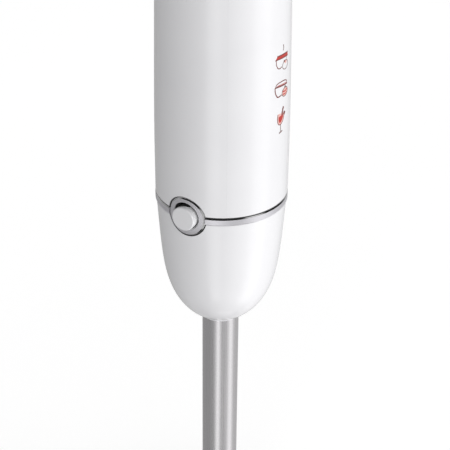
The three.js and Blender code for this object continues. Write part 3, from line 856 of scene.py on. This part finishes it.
def release_button(side):
    skirt = [(RELEASE_R, SKIRT_X + 0.16 * k, 0) for k in range(11)]
    outline = [(0, 24.6), (3, 24.6, 0.3), (3, 26.4, 0), (RELEASE_R, 26.4, 0.3), *skirt,
               (RELEASE_R, 33.1, 1.1), (2.5, 33.2, 0), (0, 33.2)]
    button = smoothed(facing(lathed(outline, 0, 96), side), 0)
    # A crescent of faces over the top of the skirt and rim takes the black material: painted shade of the
    # gap between the button and its eyelet.
    for face in button.data.polygons:
        x, y, z = face.center / MM
        off = abs(atan2(y, z) * 180 / pi - PAINTED_SHADE_AT)
        line = SKIRT_X - 0.1 + 1.6 * cos(radians(min(off * 1.9, 90)))
        face.material_index = int(abs(x) < line and hypot(y, z) > 5.5 and off < 48)
    return moved(button, z=EYELET_Z - 0.15)


def build_release():
    foot = 15.8
    hook_outline = [(24, -21), (25.2, -21), (27.7, -19), (27.7, -18), (24, -18)]
    for side, turn, sign in (("left", 180, -1), ("right", 0, 1)):
        # The black second material is painted shade over the button's top.
        finished(raised(release_button(side)), f"release_button_{side}", "white_gloss", "black_rubber")
        arm = block((22.3, 24.3), (-4, 4), (-21, 3.5))
        hook = facing(prism(hook_outline, -3.5, 3.5), "front")
        finished(raised(moved(smoothed(fused(arm, hook), 0.35), degrees=turn)), f"latch_{side}")
        spring = fitted(facing(coil(2.9, 0.4, foot, 22, 3), side, EYELET_Z), f"release_spring_{side}")
        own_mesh(spring)


# ---- Leg ----
def bell_arch():
    """One vent, as a round-topped opening through the front of the bell."""
    arc = [(7 * cos(pi * k / 30), 3 + 7 * sin(pi * k / 30)) for k in range(31)]
    return facing(prism([(7, -3), *arc, (-7, -3)], 20, 40), "front")


def build_bell_guard():
    shoulder = [(BELL_R, 3), (BELL_R, 6), (32.2, 15), (28.6, 22.5), (22.6, 28), (14, 33), (10.9, 38)]
    outer = curve_through([*shoulder, (10.4, 42)], 8)
    inner = [point for point in inset(outer, BELL_WALL) if point[0] > 15]
    bore = TUBE_R + 0.1
    top = [(10.4, 44, 0.5), (bore, 44, 0.1), (bore, 33.4, 0.2)]
    sides = [(*p, 0) for p in outer], [(*p, 0) for p in reversed(inner)]
    shell = lathed([(BELL_R - BELL_WALL, 0, 0.5), (BELL_R, 0, 0.5), *sides[0], *top, *sides[1]], 0, SIDES)
    carved(shell, *(moved(bell_arch(), degrees=90 * k) for k in range(4)))
    finished(smoothed(shell, 0.3, 40, 3), "bell_guard")


def bent_wings(obj):
    """Bends the blade's right tip up and its left tip down."""
    start, length = 15.8, 1.6
    sliced(obj, [s * (start + length * k / 4) for s in (-1, 1) for k in range(5)])
    for vertex in obj.data.vertices:
        x, z = vertex.co.x / MM, vertex.co.z / MM - BLADE_Z
        if abs(x) <= start:
            continue
        bend = radians(22 if x > 0 else -14)
        along = min(abs(x), start + length) - start
        turn, radius = bend * along / length, length / bend
        beyond = abs(x) - start - along
        reach = start + (radius - z) * sin(turn) + beyond * cos(turn)
        height = radius - (radius - z) * cos(turn) + beyond * sin(turn)
        vertex.co.x = copysign(reach, x) * MM
        vertex.co.z = (BLADE_Z + height) * MM
    return obj


def wing_outline(ground):
    """One wing, its leading edge and tip drawn in by the width of the ground bevel."""
    def bow(*points):
        a, b, c = map(Vector, points)
        return [tuple(a.lerp(b, k / 8).lerp(b.lerp(c, k / 8), k / 8)) for k in range(9)]

    lead = bow((3, -5.2 + ground), (13, -6.2 + ground), (17, -4.6 + ground))
    tip = bow((22.2 - ground, -3.9 + ground), (23.2 - ground, -3.2), (23 - ground, 1.6))
    return [*lead, *tip, *bow((17, 2.8), (10, 4.6), (3, 5.2))]


def build_blade():
    top = BLADE_Z + 1.6
    layers = (wing_outline(0), BLADE_Z), (wing_outline(0), BLADE_Z + 0.3), (wing_outline(1.5), top)
    blade = fused(rod(6.4, BLADE_Z - 0.1, top + 0.1, 64, 0.2), loft(*layers),
                  moved(loft(*layers), degrees=180))
    carved(blade, rod(SHAFT_R + 0.1, BLADE_Z - 2, top + 2, 48))
    finished(smoothed(bent_wings(blade), 0.07, 25), "blade")

    def hexagon(r, z, angle):
        return min(r, 4.5 / cos((angle + pi / 6) % (pi / 3) - pi / 6))

    nut = [(0, 6.5), (3.2, 6.5, 0.8), (5, 8.2, 0.4), (5, BLADE_Z - GAP), (3.3, BLADE_Z - GAP), (3.3, 9.2),
           (0, 9.2)]
    finished(smoothed(lathed(nut, 0.2, 96, radius_at=hexagon), 0), "blade_nut")
    collar = [(3.3, 15.9), (5.5, 15.9), (5.5, 18), (4.9, 18.4), (4.9, 19.2), (5.5, 19.6), (5.5, 22),
              (3.3, 22)]
    finished(smoothed(lathed(collar, 0.25), 0), "blade_collar")


def build_leg():
    low, high = (c.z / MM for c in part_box("shaft_tube"))
    finished(smoothed(ring(TUBE_R - 1, TUBE_R, low, high, 0.25, 128), 0), "shaft_tube")
    finished(smoothed(lathed([(0, 9.5), (SHAFT_R, 9.5), (SHAFT_R, 182), (0, 182)], 0.5), 0), "drive_shaft")
    seal = [(3.1, 30, 0), (7.7, 30), (7.7, 35.7), (6.6, 35.7), (5.2, 32.4), (3.9, 35.2), (3.1, 34.4)]
    finished(smoothed(lathed(seal, 0.35), 0), "shaft_seal")
    finished(smoothed(ring(3.1, 7.7, 36, 46, 0.5), 0), "lower_bush")
    fitted(ring(3.1, 7.9, -43.5, -35.2, 0.5), "upper_bush")
    fitted(ring(TUBE_R + 0.2, 12.8, -64.3, -63.3, 0.3, 96), "nose_gasket")
    bore = TUBE_R + 0.2
    core = [(bore, -63), (13.2, -63), (13.2, -34, 1), (25.2, -34), (25.2, -31), (21.6, -31), (21.3, -30.2),
            (20.3, -30.2), (20, -31), (10.4, -31), (10.2, -30.3), (8.2, -30.3), (8.2, -43.8), (bore, -43.8)]
    fitted(lathed(core, 0.3, 96), "leg_core")
    cup = lathed([(0, -34.8), (7.8, -34.8), (7.8, -27), (7.2, -26.4), (7.2, -22), (7.8, -21.4), (7.8, -20),
                  (0, -20)], 0.3)
    lead = loft((six_sided(5.9), -28.5), (six_sided(5.9), -21), (six_sided(7), -19.9))
    carved(cup, lead, rod(SHAFT_R + 0.1, -36, -30.2, 48))
    fitted(cup, "leg_coupling", 0.2)


# ---- Cap, dial, push buttons and gland ----
def build_cap():
    shoulder = curve_through([(29.5, 160), (29.5, 164), (28.2, 170.8), (24.7, 175.4), (20.4, 177.6)], 7)
    outline = [(27.3, 154.3), (29.5, 154.3, 0.35), *((*p, 0) for p in shoulder[:-1]), (20.4, 177.6, 0.6),
               (18.4, 177.6, 0.6), (18.4, CAP_FLOOR, 0.4), (3.6, CAP_FLOOR), (3.6, 170.8),
               (24.6, 170.8, 2), (27.3, 164, 3)]
    cap = lathed(outline, 0.2, SIDES)
    holes = [moved(rod(1.8, 160, 180, 32), x=x) for x in (-CAP_SCREW_X, CAP_SCREW_X)]
    carved(cap, joined(*holes), facing(rod(5.8, 20, 40, 64), "rear", GLAND_Z))
    cap = smoothed(cap, 0.12)
    pips = []
    for k in range(9):
        angle = radians(-150 + 30 * k)
        pip = lathed([(0, 175.4), (0.4 + 0.06 * k, 175.4), (0.4 + 0.06 * k, 177.15), (0, 177.15)], 0.15, 24)
        pips.append(tinted(moved(smoothed(pip, 0), x=22.3 * cos(angle), y=22.3 * sin(angle)), 1))
    finished(raised(joined(cap, *pips)), "top_cap", "white_gloss", "grey_soft")


def build_dial():
    ridges = 54

    def knurl(r, z, angle):
        return r - 0.28 * (0.5 - 0.5 * cos(ridges * angle)) if r > 17.4 and 176.5 < z < 181.6 else r

    profile = [(0, 180.3), (3.3, 180.3), (3.3, 175.6), (17.5, 175.6), (17.8, 176.4, 0), (17.8, 176.8, 0),
               (17.8, 181.2, 0), (17.8, 181.6, 0), (16.7, 183), (14.9, 183.4), (14.6, 183), (14.1, 183),
               (13.8, 183.5), (9, 183.9, 0), (0, 184.2)]
    dial = lathed(profile, 0.3, ridges * 8, radius_at=knurl)
    pointer = smoothed(block((-0.5, 0.5), (-13.2, -6.4), (183, 184.1)), 0.2)
    finished(raised(joined(smoothed(dial, 0, 40), tinted(pointer, 1))), "speed_dial", "satin_trim",
             "ink_red")
    spindle = carved(rod(SHAFT_R, 164.3, 180, 48, 0.4), block((1.7, 5), (-5, 5), (174, 182)))
    fitted(spindle, "dial_spindle", 0.15)
    pot = [(0, 153.8), (8, 153.8), (8, 160.4), (7.4, 160.8), (7.4, 162), (4.6, 162.2), (4.6, 164), (0, 164)]
    fitted(lathed(pot, 0.25), "speed_pot")


def power_mark(low, high):
    """A broken ring round a bar."""
    arc = [(2.3 * sin(radians(a)), 2.3 * cos(radians(a))) for a in range(35, 326, 10)]
    return [ribbon(arc, 0.5, low, high), ribbon([(0, 0.7), (0, 3)], 0.5, low, high)]


def turbo_mark(low, high):
    """Two chevrons, one over the other."""
    return [ribbon([(-2.2, y), (0, y + 1.8), (2.2, y)], 0.55, low, high) for y in (-2.1, 0.3)]


def build_push_buttons():
    for name, z, mark in (("power", POWER_Z, power_mark), ("turbo", TURBO_Z, turbo_mark)):
        profile = [(0, 21.6), (1.8, 21.6), (1.8, 26.6), (7, 26.6), (7, 31.15, 1.1), (5, 30.95, 1.5),
                   (0, 30.7)]
        button = smoothed(lathed(profile, 0.2, 96), 0)
        marks = tinted(smoothed(joined(*mark(30.5, 31.0)), 0.06), 1)
        finished(raised(facing(joined(button, marks), "front", z)), f"{name}_button", "grey_soft",
                 "white_gloss")
        spring = facing(coil(3, 0.35, 19, 26.3, 3), "front", z)
        spring = fitted(spring, f"{name}_spring")
        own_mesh(spring)
        body = smoothed(block((-6.5, 6.5), (-18.6, -14), (z - 5, z + 5)), 0.4)
        plunger = facing(rod(1.4, 18, 19.4, 24, 0.3), "front", z)
        finished(raised(joined(body, smoothed(plunger, 0))), f"{name}_switch")


def build_bezel():
    rows = [(x, y + BEZEL_Z) for x, y in stadium(BEZEL_HALF_WIDTH, BEZEL_HALF_HEIGHT)]
    plate = smoothed(prism(rows, 26.9 - HOUSING_GRIP_R, 0.3), 0.3, 50, 3)
    wrapped(plate, lambda y: HOUSING_GRIP_R)
    plate.data.transform(Matrix.Translation((0, 0, -RING_Z * MM)))
    holes = [facing(rod(PUSH_BUTTON_R + 0.25, 20, 40, 96), "front", z) for z in (POWER_Z, TURBO_Z)]
    fitted(carved(plate, joined(*holes)), "button_bezel", 0.12, 50)


def build_gland():
    profile = [(3.7, 23.4), (7, 23.4), (7, 25.2), (5.4, 25.2), (5.4, 29.8), (6.8, 29.8), (6.7, 30.6),
               (6.2, 30.8), (6.2, 31.2), (6.5, 31.4), (6.3, 32.2), (5.6, 32.5), (3.7, 32.5, 0.5)]
    finished(raised(facing(smoothed(lathed(profile, 0.2, 96), 0), "rear", GLAND_Z)), "cord_gland")


# ---- Fasteners ----
def cross_screw(radius, face, seat, end):
    """A cross-head screw along Z, given the heights of its face, the seat under its head and its end."""
    way = 1 if end > seat else -1
    pitch = 0.9
    count = int(abs(end - seat) / pitch) - 1
    thread = [(r, seat + way * (0.5 + pitch * (k + share)), 0)
              for k in range(count) for r, share in ((1.2, 0), (1.5, 0.5))]
    head = [(0, face), (radius * 0.7, face, 0.6), (radius, seat - way * 0.8, 0.4), (radius, seat, 0.1)]
    body = lathed([*head, (1.5, seat, 0), *thread, (0.9, end, 0.2), (0, end)], 0, 32)
    depth = sorted((face - way, face + way * 1.1))
    slot, arm = (-0.35, 0.35), (-1.6, 1.6)
    cross = fused(block(slot, arm, depth), block(arm, slot, (depth[0] - 0.1, depth[1] - 0.05)))
    return smoothed(carved(body, cross), 0)


def build_fasteners():
    for name, y in (("front", -BOSS_Y), ("rear", BOSS_Y)):
        finished(raised(moved(cross_screw(2.8, -5.4, -3.3, 13.5), y=y)), f"chassis_screw_{name}")
    for name, x in (("left", -CAP_SCREW_X), ("right", CAP_SCREW_X)):
        finished(raised(moved(cross_screw(3, 175.2, 173.3, 164), x=x)), f"cap_screw_{name}")
    for name, (x, y) in BOLT_SPOTS.items():
        bolt = fused(rod(1.5, 0, 66, 32, 0.3), prism(six_sided(2.7), 65.3, 68))
        finished(raised(moved(smoothed(bolt, 0.2), x=x, y=y)), f"motor_bolt_{name}")


# ---- Chassis and motor ----
def at_bolts(make):
    """The same piece at both motor bolts."""
    return joined(*(moved(make(), x=x, y=y) for x, y in BOLT_SPOTS.values()))


def build_chassis():
    body = lathed([(11, -14), (15.2, -14), (15.2, -3), (20, -3), (20, -26), (25.5, -26, 0.8), (25.5, -12),
                   (25, -11.6), (25, -10.4), (25.5, -10), (25.5, -3), (28.2, -3), (28.2, 4), (15.2, 4),
                   (15.2, 8), (8.3, 8), (8.3, 0), (6, 0), (6, -1), (11, -1)], 0.3, 128)
    body = fused(body, at_bolts(lambda: rod(3, 3, STATOR[0] - GAP, 32)))
    screws = joined(*(moved(rod(1.8, -30, 5, 32), y=y) for y in (-BOSS_Y, BOSS_Y)))
    heads = joined(*(moved(rod(3.4, -30, -3, 32), y=y) for y in (-BOSS_Y, BOSS_Y)))
    slots = joined(*(block(x, (-4.6, 4.6), (-30, 5)) for x in ((-30, -15.45), (15.45, 30))))
    carved(body, at_bolts(lambda: rod(1.8, -4, 30, 32)), screws, heads, slots, release_discs(6.6, 21.9, 30))
    fitted(body, "chassis", 0.2)


def build_motor():
    low, high = STATOR
    stack = ring(14.3, 27, low, high, 0.15, 96)
    carved(stack, block((-23, 23), (-24.6, 24.6), (low - 1, high + 1)), operation="INTERSECT")
    windows = [block(x, y, (low - 1, high + 1))
               for x in ((14.9, 20.5), (-20.5, -14.9)) for y in ((8.7, 15.3), (-15.3, -8.7))]
    carved(stack, joined(*windows), at_bolts(lambda: rod(1.8, 20, 60, 32)))
    fitted(stack, "stator_core", 0.2)
    for side, x in (("left", (-20.2, -15.2)), ("right", (15.2, 20.2))):
        frame_coil = block(x, (-15, 15), (low - 6, high + 6))
        carved(frame_coil, block((x[0] - 1, x[1] + 1), (-9, 9), (low - GAP, high + GAP)))
        fitted(frame_coil, f"field_coil_{side}", 1.3, 35, 4)
    cup = lathed([(21.2, 62), (26.6, 62), (26.6, 65), (22.6, 65, 1), (22.6, 80, 1.2), (8.3, 80), (8.3, 76),
                  (5.5, 76), (5.5, 75.2), (21.2, 75.2, 1)], 0.3, 96)
    window = block((-4.4, 4.4), (-30, 30), (63.6, 72.4))
    carved(cup, at_bolts(lambda: rod(1.8, 60, 66, 32)), at_bolts(lambda: rod(3.2, 65, 70, 32)), window)
    fitted(cup, "upper_bracket", 0.3)
    for name, z, height in (("lower", GAP, 5), ("upper", 76.3, 4)):
        groove = [(4.4, z + height), (4.5, z + height - 0.4), (6.6, z + height - 0.4), (6.7, z + height)]
        race = lathed([(3.1, z), (8, z), (8, z + height), *groove[::-1], (3.1, z + height)], 0.2)
        fitted(race, f"{name}_bearing")
    for name, turn in (("front", 180), ("rear", 0)):
        tube = carved(block((-4, 4), (9.4, 24), (64, 72)), block((-2.9, 2.9), (8, 23), (65.1, 70.9)))
        finished(raised(moved(smoothed(tube, 0.3), degrees=turn)), f"brush_holder_{name}")
        brush = smoothed(block((-2.6, 2.6), (8.4, 19), (65.4, 70.6)), 0.25)
        finished(raised(moved(brush, degrees=turn)), f"carbon_brush_{name}")


def build_rotor():
    low, high = STATOR
    shaft = [(0, -24), (SHAFT_R, -24), (SHAFT_R, 82), (0, 82)]
    fitted(lathed(shaft, 0.5), "motor_shaft")
    slots, outer, bottom = 10, 13.8, 8.6
    head = [(share, outer) for share in (0.08, 0.25, 0.42, 0.6, 0.78)]
    tooth = [*head, (0.8, bottom), (0.98, bottom), (1, outer)]
    teeth = []
    for i in range(slots):
        for share, r in tooth:
            angle = (i + share) / slots * 2 * pi
            teeth.append((r * cos(angle), r * sin(angle)))
    core = carved(prism(teeth, low, high), rod(3.1, low - 1, high + 1, 48))
    fitted(core, "armature_core", 0.12)

    def lumps(r, z, angle):
        return r + 0.35 * cos(20 * angle) if r > 6 else r

    winding = [(3.3, high + GAP), (11.5, high + GAP), (12.6, 56.5, 2), (12, 59.5, 2), (8, 61), (3.3, 61)]
    fitted(lathed(winding, 1, 160, radius_at=lumps), "armature_winding")
    commutator = ring(3.3, 8, 61.3, 74, 0.3, 80)
    bars = [moved(block((7, 9), (-0.15, 0.15), (62.6, 75)), degrees=18 * k) for k in range(20)]
    fitted(carved(commutator, joined(*bars)), "commutator")
    hub = ring(3.3, 7, 9.5, 17, 0.4)
    blades = [moved(block((6, 19), (-0.6, 0.6), (10, 16)), degrees=45 * k) for k in range(8)]
    fan = fused(hub, ring(6.5, 19.2, 15.6, 17, 0.2, 96), joined(*blades))
    fitted(fan, "cooling_fan", 0.2)
    dog = loft((six_sided(4.5), -28), (six_sided(5.4), -26.8), (six_sided(5.4), -13))
    dog = carved(fused(rod(7.5, -14, -7, 64, 0.6), dog), rod(3.1, -24.3, 0, 48))
    fitted(dog, "motor_coupling", 0.25)


# ---- Electronics ----
def build_electronics():
    board = smoothed(block((-17, 17), (-13.6, -12), (92, 150)), 0.2)
    chips = [((-14, -9), (96, 100)), ((-4, 1), (95, 98)), ((6, 14), (96, 99)), ((-15, -11), (128, 140)),
             ((-7, 0), (136, 141))]
    parts = [tinted(smoothed(block(x, (-12.1, -10.4), z), 0.25), 1) for x, z in chips]
    finished(raised(joined(board, *parts)), "control_board", "board_green", "black_plastic")
    can = [(0, 100), (6, 100), (6, 102.2, 0.4), (5.6, 102.8, 0.4), (6, 103.4, 0.4), (6, 124),
           (4.6, 124, 0.1), (4.4, 123.7, 0.1), (0, 123.7)]
    finished(raised(moved(smoothed(lathed(can, 0.5), 0), x=-8, y=-5.4)), "suppressor_capacitor")
    fins = [block((2 + 3 * i, 3.4 + 3 * i), (-11, -3), (104, 134)) for i in range(5)]
    sink = fused(block((2, 15.4), (-11.7, -9.7), (104.05, 133.95)), joined(*fins))
    fitted(sink, "triac_heatsink", 0.25)


build_housing()
build_pictograms()
build_nose()
build_trim_ring()
build_release()
build_bell_guard()
build_blade()
build_leg()
build_cap()
build_dial()
build_push_buttons()
build_bezel()
build_gland()
build_fasteners()
build_chassis()
build_motor()
build_rotor()
build_electronics()

# ---- Studio ----
CAMERA_AZIMUTH = -58.2
CAMERA_ELEVATION = 27.79  # of the camera seen from the trim ring's centre
CAMERA_DISTANCE = 560.3
CAMERA_PITCH = 29.6  # below the horizon
CAMERA_YAW = 0.18
CAMERA_ROLL = 0.47
LENS_TO_SENSOR = 2.65527
SENSOR = 36
FLOOR = 9000  # from the middle of the floor to its edges


def horizontal(azimuth):
    """Unit vector from the blender's axis towards an azimuth, where 0 is the front and -90 the left."""
    a = radians(azimuth)
    return Vector((sin(a), -cos(a), 0))


def build_camera():
    data = bpy.data.cameras.new("camera")
    data.sensor_width = SENSOR
    data.lens = SENSOR * LENS_TO_SENSOR
    data.clip_start = 0.01
    data.clip_end = 50
    camera = bpy.data.objects.new("camera", data)
    bpy.context.scene.collection.objects.link(camera)
    e = radians(CAMERA_ELEVATION)
    offset = (horizontal(CAMERA_AZIMUTH) * cos(e) + Vector((0, 0, sin(e)))) * CAMERA_DISTANCE * MM
    turn = (Matrix.Rotation(radians(CAMERA_AZIMUTH), 4, "Z")
            @ Matrix.Rotation(radians(90 - CAMERA_PITCH), 4, "X")
            @ Matrix.Rotation(radians(CAMERA_ROLL), 4, "Z")
            @ Matrix.Rotation(radians(-CAMERA_YAW), 4, "Y"))
    camera.matrix_world = Matrix.Translation(Vector((0, 0, RING_Z * MM)) + offset) @ turn
    bpy.context.scene.camera = camera


def build_floor():
    corners = [(-FLOOR, -FLOOR, 0), (FLOOR, -FLOOR, 0), (FLOOR, FLOOR, 0), (-FLOOR, FLOOR, 0)]
    floor = made("floor", corners, [(0, 1, 2, 3)])
    s = Shader("floor", Roughness=0.9, Emission_Color=(1, 1, 1, 1), Emission_Strength=0.6)
    s.colour(s.noise(0.002), shade(0.8), shade(0.82))
    floor.data.materials.append(s.material)
    floor.visible_glossy = False
    floor.visible_diffuse = False


class WorldNodes(Nodes):
    """The sums that the studio's light is worked out with."""

    def maths(self, operation, first, second):
        node = self.add("ShaderNodeMath", first, second)
        node.operation = operation
        return node.outputs[0]

    def times(self, first, second):
        return self.maths("MULTIPLY", first, second)

    def plus(self, *values):
        total = values[0]
        for value in values[1:]:
            total = self.maths("ADD", total, value)
        return total

    def vector(self, operation, *values):
        node = self.add("ShaderNodeVectorMath", *values)
        node.operation = operation
        return node.outputs


# Upright lights: azimuth from the camera, half-width and soft edge in degrees, strength, and the sine of
# the elevation that they reach in reflections.
STRIPS = ((-14, 3, 13, 1.2, 0.3), (70, 5, 18, 0.84, 0.78))


def build_light():
    """A white surround for the eye. The light itself is a soft room, dim on the left and bright on the
    right, with upright strips. What shines sees it dark overhead and straight below, but for a soft panel
    right overhead."""
    world = bpy.data.worlds.new("studio")
    bpy.context.scene.world = world
    world.use_nodes = True
    w = WorldNodes(world.node_tree)
    w.tree.nodes.clear()
    direction = w.add("ShaderNodeTexCoord").outputs["Generated"]
    level = w.vector("NORMALIZE", w.vector("MULTIPLY", direction, (1, 1, 0))[0])[0]
    height = w.add("ShaderNodeSeparateXYZ", Vector=direction).outputs["Z"]
    path = w.add("ShaderNodeLightPath")

    def towards(azimuth):
        return w.vector("DOT_PRODUCT", level, horizontal(CAMERA_AZIMUTH + azimuth))["Value"]

    room = w.ranged(towards(95), -1, 0.9, 0.39, 0.65)
    strips = tall_strips = 0
    for azimuth, width, softness, strength, top in STRIPS:
        inner, outer = cos(radians(width)), cos(radians(width + softness))
        strip = w.ranged(towards(azimuth), outer, inner, 0, strength)
        strips = w.plus(strip, strips)
        tall_strips = w.plus(w.times(strip, w.ranged(height, top, top + 0.12, 1, 0)), tall_strips)
    # Diffuse light has a broad fill on the right, comes back from the floor, and fades gently upwards.
    gentle = w.times(w.ranged(height, 0.45, 0.9, 1, 0.35), w.ranged(height, -0.75, -0.1, 1.3, 1))
    fill = w.ranged(towards(57), 0.36, 0.86, 0, 0.56)
    diffuse = w.times(w.plus(room, fill, w.times(strips, 0.55)), gentle)
    # For reflections the room ends just over the horizon, and a wall stands behind on the left.
    below = -0.95, -0.85
    room_fade = w.times(w.ranged(height, 0.1, 0.4, 1, 0.04), w.ranged(height, *below, 0.03, 1))
    wall = w.ranged(towards(-126), cos(radians(45)), cos(radians(15)), 0, 0.42)
    wall_fade = w.times(w.ranged(height, 0.1, 0.3, 0, 1), w.ranged(height, 0.45, 0.6, 1, 0))
    shine = w.plus(w.times(room, room_fade), w.times(tall_strips, w.ranged(height, *below, 0, 1)),
                   w.ranged(height, 0.93, 0.97, 0, 0.9), w.times(wall, wall_fade))
    glossy = path.outputs["Is Glossy Ray"]
    total = w.plus(w.times(shine, glossy), w.times(diffuse, w.maths("SUBTRACT", 1, glossy)))
    lit, seen = (w.add("ShaderNodeBackground", Color=(1, 1, 1, 1), Strength=strength).outputs[0]
                 for strength in (total, 1))
    choose = w.add("ShaderNodeMixShader", path.outputs["Is Camera Ray"], lit, seen)
    w.add("ShaderNodeOutputWorld", Surface=choose.outputs[0])


build_camera()
build_floor()
build_light()
bpy.context.scene.view_settings.view_transform = "Standard"
